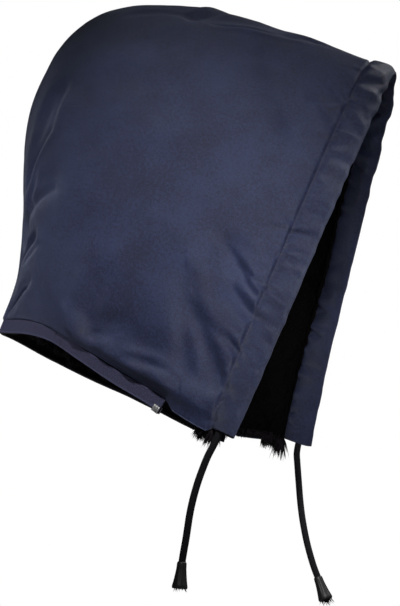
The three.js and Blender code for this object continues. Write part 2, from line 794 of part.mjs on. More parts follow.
// The origin lies where a head carries the hood: under the pile, at SEAT_BACK on the crown seam
function headSeatPoint() {
  const seam = nets.right[ROWS];
  const seatDepth = SEAT_BACK * HOOD_DEPTH;
  const next = seam.findIndex((node) => node.point.y > seatDepth);
  const [before, after] = [seam[next - 1], seam[next]];
  const share = (seatDepth - before.point.y) / (after.point.y - before.point.y);
  return inside({
    point: before.point.clone().lerp(after.point, share),
    normal: before.normal.clone().lerp(after.normal, share).normalize(),
  }, LINING_INNER);
}
const headSeat = headSeatPoint();
hood.position.set(0, -headSeat.y, -headSeat.z);

export default hood;
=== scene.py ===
# %% [markdown]
# # A detachable storm hood
# A hood of navy twill that zips onto the collar of a jacket, stuffed out to the shape it has when
# it is worn, and seen from the wearer's right and a little from below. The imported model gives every
# piece its place. This lesson dresses it: cloth with its folds and gathers, black pile, a woven zip
# tape with its coil, and two braided cords with moulded ends.

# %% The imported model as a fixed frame
import math

import bpy
import numpy as np
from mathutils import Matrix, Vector


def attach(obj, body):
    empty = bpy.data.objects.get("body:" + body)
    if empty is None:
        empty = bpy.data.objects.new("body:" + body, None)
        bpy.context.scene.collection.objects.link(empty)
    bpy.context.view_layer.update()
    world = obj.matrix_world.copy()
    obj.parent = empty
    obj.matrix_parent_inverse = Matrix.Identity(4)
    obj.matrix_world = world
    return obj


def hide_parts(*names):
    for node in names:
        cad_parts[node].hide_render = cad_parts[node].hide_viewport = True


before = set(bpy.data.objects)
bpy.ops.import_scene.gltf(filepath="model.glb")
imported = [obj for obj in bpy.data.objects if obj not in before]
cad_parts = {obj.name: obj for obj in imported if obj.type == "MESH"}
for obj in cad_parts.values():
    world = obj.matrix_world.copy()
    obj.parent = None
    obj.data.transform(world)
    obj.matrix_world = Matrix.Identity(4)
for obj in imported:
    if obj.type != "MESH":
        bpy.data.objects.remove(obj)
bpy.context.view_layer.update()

MM = 0.001
BODY = "root"

# %% [markdown]
# ## The camera
# The picture was taken from the hood's right side, turned 21 degrees towards its face opening, with
# the lens 12 degrees below the thing it looks at. A long lens from 1.5 m keeps the perspective as
# slight as it is there. The picture is 400 by 606, and its long side takes in 514 mm at the aim.

# %% The camera
TURN = math.radians(21)
RISE = math.radians(12)
DISTANCE = 1500 * MM
AIM = Vector((0, -32.4 * MM, -261.6 * MM))
SHOWN_HEIGHT = 513.6 * MM

look = Vector((math.cos(TURN) * math.cos(RISE), math.sin(TURN) * math.cos(RISE), math.sin(RISE)))
camera_data = bpy.data.cameras.new("camera")
camera_data.lens = camera_data.sensor_width * DISTANCE / SHOWN_HEIGHT
camera = bpy.data.objects.new("camera", camera_data)
camera.location = AIM - look * DISTANCE
camera.rotation_mode = "QUATERNION"
camera.rotation_quaternion = look.to_track_quat("-Z", "Y")
bpy.context.scene.collection.objects.link(camera)
bpy.context.scene.camera = camera
print("lens", round(camera_data.lens, 1), "mm at", [round(v, 3) for v in camera.location])

# %% [markdown]
# ## Meshes from arrays
# Each piece is a grid of points that numpy works out as one array. Neighbouring points make
# four-sided faces, and a ring joins its last column to its first. The faces of a closed piece are
# turned outwards by the sign of its volume.

# %% Faces and meshes
def grid_faces(lines, columns, ring=False, start=0):
    """Faces between neighbours of a grid: corner (line, column), the next column, the next line of
    both. On a ring the column after the last is the first."""
    line = np.arange(lines - 1)[:, None] * columns
    here = np.arange(columns if ring else columns - 1)[None]
    after = (here + 1) % columns
    corners = [line + here, line + after, line + columns + after, line + columns + here]
    return start + np.stack(corners, -1).reshape(-1, 4)


def end_fans(lines, columns):
    """Triangles that close a tube round two middle points, which come after its grid."""
    here = np.arange(columns)
    after = (here + 1) % columns
    count, last = lines * columns, (lines - 1) * columns
    first_fan = np.stack([after, here, np.full(columns, count)], -1)
    last_fan = np.stack([last + here, last + after, np.full(columns, count + 1)], -1)
    return np.vstack([first_fan, last_fan])


def end_caps(lines, columns):
    """The two many-sided faces that close a tube."""
    here = np.arange(columns)
    return np.stack([here[::-1], (lines - 1) * columns + here])


def facing_out(points, groups):
    """The faces, turned round if the volume of the cones from the origin to them is negative."""
    volume = 0.0
    for faces in groups:
        for k in range(1, faces.shape[1] - 1):
            a, b, c = points[faces[:, 0]], points[faces[:, k]], points[faces[:, k + 1]]
            volume += np.einsum("ij,ij->", a, np.cross(b, c))
    return groups if volume > 0 else [faces[:, ::-1] for faces in groups]


def make_piece(name, points, groups, uvs=None):
    """A mesh object at the origin from points (n, 3), arrays of faces, and a UV pair per point."""
    points = np.ascontiguousarray(points.reshape(-1, 3), dtype=np.float32)
    groups = facing_out(points.astype(float), groups)
    corners = np.concatenate([faces.ravel() for faces in groups]).astype(np.int32)
    sizes = np.concatenate([np.full(len(faces), faces.shape[1]) for faces in groups])
    starts = np.concatenate([[0], np.cumsum(sizes)[:-1]]).astype(np.int32)
    mesh = bpy.data.meshes.new(name)
    mesh.vertices.add(len(points))
    mesh.vertices.foreach_set("co", points.ravel())
    mesh.loops.add(len(corners))
    mesh.loops.foreach_set("vertex_index", corners)
    mesh.polygons.add(len(sizes))
    mesh.polygons.foreach_set("loop_start", starts)
    mesh.polygons.foreach_set("use_smooth", np.ones(len(sizes), bool))
    if uvs is not None:
        layer = mesh.uv_layers.new(name="cloth")
        layer.uv.foreach_set("vector", uvs.reshape(-1, 2)[corners].astype(np.float32).ravel())
    mesh.update()
    mesh.validate()
    piece = bpy.data.objects.new(name, mesh)
    bpy.context.scene.collection.objects.link(piece)
    print(name, "has", int((sizes - 2).sum()), "triangles")
    return piece

# %% Lengths, curves and circles
def unit(vectors):
    """Vectors of length one: each divided by its own length."""
    return vectors / np.maximum(np.linalg.norm(vectors, axis=-1, keepdims=True), 1e-12)


def running(lines):
    """The length run along each line of points: the sum of the steps so far."""
    steps = np.linalg.norm(np.diff(lines[..., :3], axis=-2), axis=-1)
    return np.concatenate([np.zeros_like(steps[..., :1]), np.cumsum(steps, -1)], -1)


def at_lengths(lines, lengths):
    """Points of each line at lengths along it, by straight steps between its own points. The
    lines are laid end to end in one long run, so that one search finds all places."""
    run = running(lines)
    count, size = run.shape
    offset = np.arange(count)[:, None] * (run.max() + 1)
    long_run = (run + offset).ravel()
    wanted = np.clip(lengths, 0, run[:, -1:]) + offset
    first = np.arange(count)[:, None] * size
    found = np.searchsorted(long_run, wanted.ravel()).reshape(wanted.shape)
    i = np.clip(found, first + 1, first + size - 1)
    share = (wanted - long_run[i - 1]) / np.maximum(long_run[i] - long_run[i - 1], 1e-12)
    flat = lines.reshape(count * size, -1)
    return flat[i - 1] + (flat[i] - flat[i - 1]) * share[..., None]


def even_stops(line, step):
    """A line laid out again at even steps, and its length."""
    length = running(line)[-1]
    return at_lengths(line[None], np.linspace(0, length, int(length / step) + 1)[None])[0], length


def blend_rows(table, shares):
    """Values between the rows of a table: a cubic through both rows whose slopes are half the way
    from the row before to the row after."""
    last = len(table) - 1
    place = np.clip(shares, 0, 1) * last
    i = np.minimum(place.astype(int), last - 1)
    f = (place - i)[..., None]
    rows = np.vstack([2 * table[0] - table[1], table, 2 * table[-1] - table[-2]])
    before, here, there, after = (rows[i + k] for k in range(4))
    slope, next_slope, rise = (there - before) / 2, (after - here) / 2, there - here
    bent = (3 * rise - 2 * slope - next_slope) * f**2
    return here + slope * f + bent + (slope + next_slope - 2 * rise) * f**3


def hump(distance, breadth):
    """A bell curve: e to the power of -(distance / breadth)^2."""
    return np.exp(-((distance / breadth) ** 2))


def ramp(value, start, end):
    """0 up to the start, 1 from the end on, and a straight rise between them."""
    return np.clip((value - start) / (end - start), 0, 1)


def eased(t):
    """3t^2 - 2t^3, which leaves 0 and reaches 1 without a kink."""
    return t * t * (3 - 2 * t)


def around(count):
    """Even angles once round a circle."""
    return np.linspace(0, 2 * np.pi, count, endpoint=False)


def circle(across, over, angle):
    """Points of a circle of radius one: across times cos angle plus over times sin angle."""
    return across[..., None, :] * np.cos(angle)[:, None] + over[..., None, :] * np.sin(angle)[:, None]


def across_and_over(along):
    """Two directions square to the way along: across is square to a fixed sideways one as well."""
    across = unit(np.cross(along, np.array([1.0, 0.2, 0.1])))
    return across, np.cross(along, across)

# %% [markdown]
# ## The free cords
# Each end of the drawcord leaves the mouth of its casing, bends forward or back a little and hangs
# straight down under the weight of its moulded end. Cords come first because their route is fixed
# by the model. The braid is worked into the surface: two families of strands wind round the cord
# in opposite turns, and each point takes the height of the strand that lies on top there.

# %% The routes of the cords, in mm from the origin
RIGHT_ROUTE = [
    (-90.3, -84.9, -380.9), (-91.4, -83.5, -385.6), (-92.4, -82.1, -390.3), (-92.5, -78.9, -396.6),
    (-92.2, -74.2, -404.6), (-91.7, -70.0, -413.6), (-91.2, -66.2, -422.6), (-90.8, -62.9, -432.1),
    (-90.5, -60.2, -441.6), (-90.3, -58.2, -450.6), (-90.2, -56.7, -459.6), (-90.2, -55.2, -468.6),
    (-90.3, -53.5, -477.6), (-90.4, -52.3, -485.1), (-90.4, -51.6, -491.6),
]
LEFT_ROUTE = [
    (92.4, -89.9, -367.1), (93.8, -88.5, -371.7), (95.1, -87.0, -376.2), (95.6, -86.1, -381.7),
    (95.5, -86.5, -388.7), (95.1, -87.2, -397.7), (94.7, -88.0, -407.7), (94.3, -88.8, -417.7),
    (94.0, -89.8, -427.7), (93.8, -91.1, -437.7), (93.7, -92.9, -448.2), (93.6, -95.1, -458.7),
    (93.6, -97.7, -468.7), (93.6, -100.9, -479.2), (93.6, -104.3, -488.2), (93.6, -106.5, -494.2),
]
MOUTH_POINT = 1
CORD_DIAMETER = 5.5 * MM
CORD_STEP = 0.55 * MM
AROUND_CORD = 56
STRANDS = 8
STRAND_TURN = 17 * MM
STRAND_HEIGHT = 0.42 * MM
CURVE_STEPS = 24

# %% The braid
def braid_height(angle, length):
    """Height of the strand on top. A strand is a rounded bar, high where the phase of its family
    is at its middle, and the families take turns on top like the fields of a chess board."""
    turns = length / STRAND_TURN
    right = np.sin(np.pi * STRANDS * (angle / (2 * np.pi) + turns))
    left = np.sin(np.pi * STRANDS * (angle / (2 * np.pi) - turns))
    over = 0.5 + 0.5 * right * left
    right_bar = np.abs(right) ** 0.6 * (0.45 + 0.55 * over)
    left_bar = np.abs(left) ** 0.6 * (0.45 + 0.55 * (1 - over))
    return np.maximum(right_bar, left_bar)


def cord_piece(name, points):
    """A tube round the smooth curve through the points, with a flat fan at each end."""
    route = np.array(points) * MM
    curve = blend_rows(route, np.linspace(0, 1, CURVE_STEPS * (len(route) - 1) + 1))
    path, length = even_stops(curve, CORD_STEP)
    across, over = across_and_over(unit(np.gradient(path, axis=0)))
    angle = around(AROUND_CORD)
    run = running(path)
    radius = CORD_DIAMETER / 2 + STRAND_HEIGHT * (braid_height(angle[None], run[:, None]) - 0.6)
    tube = path[:, None] + circle(across, over, angle) * radius[..., None]
    uvs = np.stack(np.broadcast_arrays(angle[None] / (2 * np.pi), run[:, None] / MM), -1)
    uvs = np.vstack([uvs.reshape(-1, 2), [0.5, 0], [0.5, length / MM]])
    faces = [grid_faces(len(path), AROUND_CORD, ring=True), end_fans(len(path), AROUND_CORD)]
    piece = make_piece(name, np.vstack([tube.reshape(-1, 3), path[0], path[-1]]), faces, uvs)
    return piece, path, length


right_cord, right_path, right_length = cord_piece("braided_cord_right", RIGHT_ROUTE)
left_cord, left_path, left_length = cord_piece("braided_cord_left", LEFT_ROUTE)
print("cord lengths in mm:", round(right_length / MM, 1), round(left_length / MM, 1))

# %% [markdown]
# ## The moulded cord ends
# Each cord ends in a black moulded bell. Its neck grips the cord, it widens to a round shoulder,
# and its mouth is hollow. Shallow flutes run down it. It is a turned shape, so one profile of
# radii down its middle line makes it.

# %% A cord end as a turned profile
END_LENGTH = 21 * MM
END_NECK = 7.4 * MM
END_MOUTH = 12.2 * MM
END_SOCKET = 7 * MM
END_WALL = 1.2 * MM
END_FLOOR = 0.8
FLUTES = 10
FLUTE_DEPTH = 0.22 * MM
AROUND_END = 80
# share of the length down, and flare from the neck (0) to the mouth (1)
BELL = np.array([
    (0.0, -0.55), (0.012, -0.3), (0.035, -0.08), (0.08, 0.02), (0.16, 0.06),
    (0.28, 0.13), (0.42, 0.28), (0.56, 0.46), (0.68, 0.63), (0.78, 0.78),
    (0.86, 0.92), (0.91, 1.0), (0.95, 0.99), (0.98, 0.9), (1.0, 0.74),
])


def bell_piece(name, path):
    """Radius from neck to mouth by flare, at shares of the length down. Flutes take a cosine of
    the angle off the radius between the neck and the rim."""
    along = unit(path[-1] - path[-8])
    across, over = across_and_over(along)
    top = path[-1] - along * END_SOCKET
    radius = (END_NECK + (END_MOUTH - END_NECK) * BELL[:, 1]) / 2
    floor = END_LENGTH * END_FLOOR
    rim = radius[-1] - END_WALL * 0.4
    socket = [END_SOCKET * 0.9, END_SOCKET * 0.4]
    down = np.concatenate([socket, BELL[:, 0] * END_LENGTH, [END_LENGTH, floor, floor]])
    socket = [CORD_DIAMETER * 0.3, CORD_DIAMETER * 0.53]
    radius = np.concatenate([socket, radius, [rim, rim * 0.8, rim * 0.2]])
    angle = around(AROUND_END)
    fluted = ramp(down / END_LENGTH, 0.12, 0.32) * ramp(down / END_LENGTH, 0.84, 0.74)
    fluted[:2] = 0
    fluted[-3:] = 0
    flutes = FLUTE_DEPTH * fluted[:, None] * (0.5 - 0.5 * np.cos(FLUTES * angle))[None]
    size = radius[:, None] - flutes
    grid = top + along * down[:, None, None] + circle(across, over, angle)[None] * size[..., None]
    points = np.vstack([grid.reshape(-1, 3), top + along * down[0], top + along * down[-1]])
    return make_piece(name, points, [
        grid_faces(len(down), AROUND_END, ring=True),
        end_fans(len(down), AROUND_END),
    ])


right_bell = bell_piece("moulded_end_right", right_path)
left_bell = bell_piece("moulded_end_left", left_path)

# %% [markdown]
# ## The form of the hood
# The hood is cut from two halves that meet in the crown seam. Half a rib, from the neck edge up to
# the seam, is one cubic arc, and thirteen arches from the face opening to the nape carry the whole
# form. Between them each value runs on a smooth cubic, so the cloth has no facets. Heights are
# shares of the hood's height, places from front to back are shares of its depth and widths are
# shares of its half width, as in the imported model.

# %% The arches of the hood
HOOD_HEIGHT = 388 * MM
HOOD_DEPTH = 248 * MM
HALF_WIDTH = 90 * MM
HANG_TILT = 11 * MM
THROAT = np.array([0, -101.2, -376.2]) * MM
# seam back and up, neck back and up, lift of the right side, and half widths: foot, belly, dome
ARCHES = np.array([
    (-0.432, 0.772, 0.018, -0.015, -0.8, 1.12, 0.632, 0.26),
    (-0.309, 0.809, 0.124, 0.01, -0.59, 0.999, 0.922, 0.389),
    (-0.144, 0.864, 0.219, 0.032, -0.12, 0.996, 1.033, 0.582),
    (0.062, 0.926, 0.303, 0.055, 0.36, 0.977, 1.12, 0.784),
    (0.29, 0.977, 0.38, 0.079, 0.5, 0.956, 1.18, 0.917),
    (0.512, 0.996, 0.453, 0.103, 0.58, 0.932, 1.214, 1.018),
    (0.706, 0.957, 0.521, 0.128, 0.66, 0.903, 1.212, 1.016),
    (0.822, 0.875, 0.585, 0.153, 0.77, 0.876, 1.168, 0.921),
    (0.883, 0.772, 0.648, 0.178, 0.89, 0.849, 1.101, 0.828),
    (0.888, 0.652, 0.711, 0.2, 0.97, 0.8, 0.954, 0.641),
    (0.894, 0.525, 0.778, 0.219, 0.9, 0.733, 0.817, 0.508),
    (0.923, 0.4, 0.844, 0.237, 0.72, 0.633, 0.627, 0.35),
    (1.005, 0.285, 0.909, 0.254, 0.45, 0.501, 0.443, 0.221),
])


def ribs(side, shares, steps):
    """Each rib is (1-t)^3 neck + 3t(1-t)^2 low + 3t^2(1-t) high + t^3 seam. Low lies a third of
    the way up, out by the belly, and high lies level with the seam, out by the dome."""
    seam_y, seam_z, neck_y, neck_z, lift, foot, belly, dome = blend_rows(ARCHES, shares).T
    height = neck_z * HOOD_HEIGHT - side * lift * HANG_TILT
    neck = np.stack([side * foot * HALF_WIDTH, neck_y * HOOD_DEPTH, height], -1)
    seam = np.stack([0 * foot, seam_y * HOOD_DEPTH, seam_z * HOOD_HEIGHT], -1)
    low = neck + (seam - neck) / 3
    low[:, 0] = side * belly * HALF_WIDTH
    high = seam.copy()
    high[:, 0] = side * dome * HALF_WIDTH
    t = np.linspace(0, 1, steps)[None, :, None]
    neck, low, high, seam = (corner[:, None] for corner in (neck, low, high, seam))
    arc = (1 - t) ** 3 * neck + 3 * t * (1 - t) ** 2 * low + 3 * t**2 * (1 - t) * high + t**3 * seam
    return arc + THROAT

# %% [markdown]
# ## A net of cloth
# Two numbers name a place on the cloth: how far up its rib it lies, and how far back from the face
# edge. The casing's columns keep their lengths from the face edge, so the stitch line runs
# parallel to it, and the panel's columns share what is left up to the nape.

# %% Points, directions and lengths of one half
HEM_WIDTH = 24 * MM
GAP = 0.3 * MM
DENSE_RIBS = 420
RIB_STEPS = 160
THIN_ROWS = 24
THIN_COLUMNS = 28


def picked(grid, up_place, back_place):
    """Values of a grid at places between its rows and columns, blended from four neighbours."""
    i = np.minimum(up_place.astype(int), grid.shape[0] - 2)
    j = np.minimum(back_place.astype(int), grid.shape[1] - 2)
    f, g = (up_place - i)[..., None], (back_place - j)[..., None]
    low = grid[i, j] * (1 - g) + grid[i, j + 1] * g
    high = grid[i + 1, j] * (1 - g) + grid[i + 1, j + 1] * g
    return low * (1 - f) + high * f


def thinned(size, count):
    """About count whole places out of size, and where all the places lie between them."""
    kept = np.unique(np.linspace(0, size - 1, count).round().astype(int))
    return kept, np.interp(np.arange(size), kept, np.arange(len(kept)))


class Net:
    """One half of the hood at shares up the ribs, and at columns from front to back: those of the
    casing by length from the face edge, those of the panel by share of the way to the nape."""

    def __init__(self, side, ups, panel, casing=(), gap=0.0):
        shares = np.linspace(0, 1, DENSE_RIBS)
        arcs = ribs(side, shares, RIB_STEPS)
        rib_length = running(arcs)[:, -1]
        lines = at_lengths(arcs, rib_length[:, None] * ups[None])
        marks = np.stack([shares, rib_length], -1)[:, None]
        marks = np.broadcast_to(marks, lines.shape[:2] + (2,))
        lines = np.concatenate([lines, marks], -1).transpose(1, 0, 2)
        total = running(lines)[:, -1:]
        start = HEM_WIDTH + gap
        casing = np.broadcast_to(casing, (len(ups), len(casing)))
        self.side = side
        self.from_edge = np.concatenate([casing, start + (total - start) * panel[None]], 1)
        found = at_lengths(lines, self.from_edge)
        self.points = found[..., :3]
        self.back = found[..., 3]
        self.up = np.broadcast_to(ups[:, None], self.back.shape)
        self.from_neck = self.up * found[..., 4]
        self.from_crown = (1 - self.up) * found[..., 4]
        self.from_nape = total - self.from_edge
        self.normals = self.smooth_normals()

    def smooth_normals(self):
        """Directions out of the cloth: the cross product of its two slopes on a thinned net, evened
        out between neighbours, and filled in between. On the crown seam they keep to the middle."""
        rows, row_places = thinned(self.up.shape[0], THIN_ROWS)
        columns, column_places = thinned(self.up.shape[1], THIN_COLUMNS)
        thin = self.points[np.ix_(rows, columns)]
        normals = unit(self.side * np.cross(np.gradient(thin, axis=1), np.gradient(thin, axis=0)))
        normals[0, -1] = normals[1, -2]
        for _ in range(3):
            near = np.pad(normals, ((1, 1), (1, 1), (0, 0)), mode="edge")
            near = near[2:, 1:-1] + near[:-2, 1:-1] + near[1:-1, 2:] + near[1:-1, :-2]
            normals = unit(normals + 0.5 * near)
            normals[-1, :, 0] = 0
        return unit(picked(normals, row_places[:, None], column_places[None]))

# %% [markdown]
# ## Folds
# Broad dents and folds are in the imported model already, and a table gives them here again with the
# same values. A second table adds the sharper creases that the picture shows. A crease runs from
# one place to another, as a valley with a ridge on one side of it, and both fade at its ends.

# %% Tables of folds and creases
FOLD_DEPTH = 9 * MM
PAST_STITCHES = 14 * MM
# side (0 for both), from up and back, to up and back, depth, breadth
FOLDS = [
    (0, 0.06, 0.2, 0.07, 0.5, 0.8, 0.085),
    (0, 0.19, 0.17, 0.09, 0.12, 0.5, 0.05),
    (-1, 0.38, 0.16, 0.3, 0.12, 0.55, 0.055),
    (1, 0.44, 0.17, 0.34, 0.13, 0.5, 0.06),
    (-1, 0.68, 0.52, 0.53, 0.66, 0.5, 0.055),
    (-1, 0.62, 0.6, 0.47, 0.72, -0.4, 0.05),
    (-1, 0.44, 0.56, 0.48, 0.78, 0.55, 0.06),
    (-1, 0.36, 0.7, 0.45, 0.86, 0.45, 0.045),
    (1, 0.62, 0.55, 0.52, 0.72, 0.55, 0.06),
    (1, 0.4, 0.6, 0.48, 0.82, 0.5, 0.055),
    (0, 0.23, 0.82, 0.27, 0.96, 0.4, 0.045),
    (-1, 0.9, 0.32, 0.96, 0.22, 0.5, 0.05),
    (1, 0.92, 0.34, 0.95, 0.2, 0.45, 0.055),
    (0, 0.84, 0.2, 0.72, 0.13, 0.35, 0.06),
]
RIDGE_AWAY = 1.7
RIDGE_BREADTH = 1.1
RIDGE_SHARE = 0.6
CREASE_END = 0.12
# side, from up and back, to up and back, depth and breadth in mm, and the ridge's side: 1 or -1
CREASES = [
    (-1, 0.885, 0.32, 0.985, 0.285, 3.4, 3.6, 1),
    (-1, 0.885, 0.285, 0.93, 0.215, 3.6, 3.2, -1),
    (-1, 0.955, 0.185, 0.975, 0.13, 1.8, 3, 1),
    (-1, 0.93, 0.21, 0.955, 0.16, 1.4, 3, -1),
    (-1, 0.86, 0.4, 0.9, 0.33, 1.2, 4, 1),
    (-1, 0.69, 0.5, 0.58, 0.54, 1.9, 5, 1),
    (-1, 0.58, 0.54, 0.52, 0.69, 2.6, 4.5, 1),
    (-1, 0.5, 0.62, 0.44, 0.76, 1.4, 4, 1),
    (-1, 0.425, 0.556, 0.48, 0.77, 2.6, 4.5, -1),
    (-1, 0.36, 0.706, 0.445, 0.85, 2.8, 4, -1),
    (-1, 0.3, 0.66, 0.34, 0.8, 1.2, 4, -1),
    (-1, 0.225, 0.844, 0.28, 0.96, 2.2, 3.6, -1),
    (-1, 0.375, 0.145, 0.31, 0.075, 3.0, 3.4, 1),
    (-1, 0.345, 0.085, 0.335, 0.02, 2.4, 2.8, -1),
    (-1, 0.36, 0.12, 0.34, 0.075, 1.6, 2.4, -1),
    (-1, 0.3, 0.12, 0.265, 0.05, 3.0, 4.5, 1),
    (-1, 0.475, 0.095, 0.51, 0.01, 2.0, 2.6, 1),
    (-1, 0.44, 0.08, 0.46, 0.02, 1.4, 2.4, -1),
    (-1, 0.22, 0.18, 0.08, 0.085, 3.0, 6, -1),
    (-1, 0.27, 0.22, 0.09, 0.18, 3.4, 9, 1),
    (-1, 0.2, 0.42, 0.1, 0.5, 2.4, 9, -1),
    (-1, 0.16, 0.12, 0.07, 0.055, 2.2, 3.4, 1),
    (-1, 0.12, 0.07, 0.05, 0.02, 1.8, 2.6, -1),
    (-1, 0.2, 0.1, 0.16, 0.03, 1.8, 3, 1),
    (-1, 0.8, 0.12, 0.86, 0.05, 1.8, 3, -1),
    (-1, 0.72, 0.1, 0.75, 0.03, 1.4, 3, 1),
    (-1, 0.06, 0.22, 0.04, 0.36, 2.6, 4, -1),
    (-1, 0.075, 0.42, 0.04, 0.56, 2.4, 5, 1),
    (-1, 0.12, 0.36, 0.08, 0.5, 1.2, 6, -1),
    (1, 0.9, 0.3, 0.97, 0.24, 2.4, 3.6, 1),
    (1, 0.64, 0.5, 0.52, 0.68, 2.4, 5, 1),
    (1, 0.4, 0.6, 0.47, 0.8, 2.4, 4.5, -1),
    (1, 0.3, 0.75, 0.36, 0.9, 2.4, 4, -1),
    (1, 0.42, 0.15, 0.34, 0.07, 2.8, 3.6, 1),
    (1, 0.3, 0.12, 0.26, 0.04, 2.4, 3.6, -1),
    (1, 0.17, 0.16, 0.07, 0.09, 2.4, 5, 1),
    (1, 0.6, 0.09, 0.63, 0.02, 1.8, 3, 1),
    (1, 0.05, 0.3, 0.03, 0.45, 2.4, 4.5, -1),
    (1, 0.78, 0.11, 0.83, 0.04, 1.8, 3, -1),
]

# %% Folds and creases on the cloth
def line_distance(net, up, back, to_up, to_back):
    """Distance to a straight line drawn on the cloth, positive on one side of it, and the share of
    the way along it, from 0 to 1. The cloth gets broader towards the crown."""
    broad = HOOD_DEPTH * (1 + net.up)
    along = np.stack([np.full_like(broad, (to_up - up) * HOOD_HEIGHT), (to_back - back) * broad], -1)
    here = np.stack([(net.up - up) * HOOD_HEIGHT, (net.back - back) * broad], -1)
    share = np.clip((here * along).sum(-1) / np.linalg.norm(along, axis=-1) ** 2, 0, 1)
    away = here - along * share[..., None]
    turned = np.sign(along[..., 0] * here[..., 1] - along[..., 1] * here[..., 0])
    return np.linalg.norm(away, axis=-1) * turned, share


def fold_depth(net):
    """Depth of the broad folds: a bell curve across each line, and nothing at the stitches."""
    depth = np.zeros_like(net.back)
    for side, up, back, to_up, to_back, deep, broad in FOLDS:
        if side in (0, net.side):
            distance, _ = line_distance(net, up, back, to_up, to_back)
            depth += deep * FOLD_DEPTH * hump(distance, broad * HOOD_DEPTH)
    return depth * eased(ramp(net.from_edge, HEM_WIDTH, HEM_WIDTH + PAST_STITCHES))


def crease_height(net):
    """Height of the creases: minus a narrow bell curve on the line, plus a lower one beside it,
    both fading at the ends of the line by a sine that doesn't quite reach 0."""
    height = np.zeros_like(net.back)
    for side, up, back, to_up, to_back, deep, broad, ridge in CREASES:
        if side == net.side:
            distance, share = line_distance(net, up, back, to_up, to_back)
            broad = broad * MM
            beside = hump(distance - RIDGE_AWAY * ridge * broad, RIDGE_BREADTH * broad)
            fade = np.sin(np.pi * (CREASE_END + (1 - 2 * CREASE_END) * share))
            height += deep * MM * fade * (RIDGE_SHARE * beside - hump(distance, broad))
    return height

# %% [markdown]
# ## Gathers and ease
# Where a seam holds the cloth, the cloth beside it puckers. Each seam has its own row of uneven
# puckers, placed by the length along it, and they die away with the distance from it. Over the
# whole hood the padded cloth rises and falls a little, by smooth noise on a lattice of random
# heights. The seeds are fixed, so each run gives the same hood.

# %% Smooth noise and puckers
# puckers: how many, then from and to in mm for reach, width and height, and how far they lean
LONG_GATHERS = (26, (14, 34), (3.5, 7), (0.5, 1.5), 0.35)
SHORT_GATHERS = (52, (5, 12), (1.6, 3.2), (0.25, 0.8), 0.1)
NECK_GATHERS = (22, (6, 16), (3, 6), (0.05, 0.3), 0.2)
CROWN_GATHERS = (26, (7, 20), (3, 6), (0.15, 0.55), 0.0)
STITCH_HOLD = 1.3 * MM
LEAN_SPREAD = 0.35
LATTICE = 32
# where the cord draws the casing together most: how much, how far up and how broad
DRAWN_LEAST = 0.5
DRAWN = ((0.75, 0.22, 0.2), (0.45, 0.86, 0.12))
# height and size of the noise in mm, and its seed
EASE = ((2.2, 58, 3), (1.1, 27, 4), (0.16, 9, 5))


def smooth_noise(points, size, seed):
    """Noise from -1 to 1: random heights on a lattice with cells of the given size, blended
    inside each cell by 3t^2 - 2t^3 along the three axes in turn."""
    lattice = np.random.default_rng(seed).uniform(-1, 1, (LATTICE,) * 3)
    place = points / size
    corner = np.floor(place).astype(int)
    t = eased(place - corner)
    total = np.zeros(points.shape[:-1])
    for k in range(8):
        step = np.array([(k >> 2) & 1, (k >> 1) & 1, k & 1])
        i, j, m = np.moveaxis((corner + step) % LATTICE, -1, 0)
        total += lattice[i, j, m] * np.prod(np.where(step, t, 1 - t), -1)
    return total


def noise_along(run, size, seed):
    """Smooth noise of the length along a seam."""
    return smooth_noise(np.stack([run, 0 * run, 0 * run], -1), size, seed)


def noise_ways(points, size, seed):
    """Directions whose three parts are each a smooth noise of their own."""
    return np.stack([smooth_noise(points, size, seed + k) for k in range(3)], -1)


def puckers(run, distance, seed, count, reach, width, depth, lean):
    """Sum of single puckers along a seam. Each is a bell curve across its own line, which leans
    away from the seam, times one along it, and stitches hold its foot flat. Their places are
    spread at random over the seam, and every second one is a hollow."""
    random = np.random.default_rng(seed)
    far = float(run.max())
    height = np.zeros_like(run)
    for k in range(count):
        place = (k + random.uniform(0.1, 0.9)) * far / count
        long, broad = random.uniform(*reach) * MM, random.uniform(*width) * MM
        high = random.uniform(*depth) * MM * (1 if k % 2 else -1)
        slant = lean + random.normal(0, LEAN_SPREAD)
        height += high * hump(run - place - slant * distance, broad) * hump(distance, long)
    return height * (1 - hump(distance, STITCH_HOLD))


def drawn_in(net):
    """How far the cord has drawn the casing together: most near the front corner and the peak."""
    return sum((much * hump(net.up - up, broad) for much, up, broad in DRAWN), DRAWN_LEAST)


def gather_height(net):
    """Puckers on the panel side of the stitch line, long ones over short ones, and slight ones of
    the neck seam and the crown seam."""
    distance = np.abs(net.from_edge - HEM_WIDTH)
    long_ones = puckers(net.from_neck, distance, 11 + net.side, *LONG_GATHERS)
    short_ones = puckers(net.from_neck, distance, 15 + net.side, *SHORT_GATHERS)
    neck = puckers(net.from_edge, net.from_neck, 21 + net.side, *NECK_GATHERS)
    crown = puckers(net.from_edge, net.from_crown, 31, *CROWN_GATHERS)
    return (long_ones + short_ones) * drawn_in(net) + neck + crown


def ease_height(net):
    """Slow rise and fall of the cloth: noise at three sizes, the largest the highest."""
    return sum(height * MM * smooth_noise(net.points, size * MM, seed) for height, size, seed in EASE)

# %% [markdown]
# ## The neck seam
# The padded cloth is drawn in where it is sewn to the zip tape, and above the seam it hangs over it
# in pouches that throw a dark shadow on the tape. The picture shows five of them on the right.

# %% Rolled edges and pouches
NECK_TUCK = 4.2 * MM
NECK_TUCK_REACH = 15 * MM
POUCH_START = 0.8
POUCH_FADE = 17
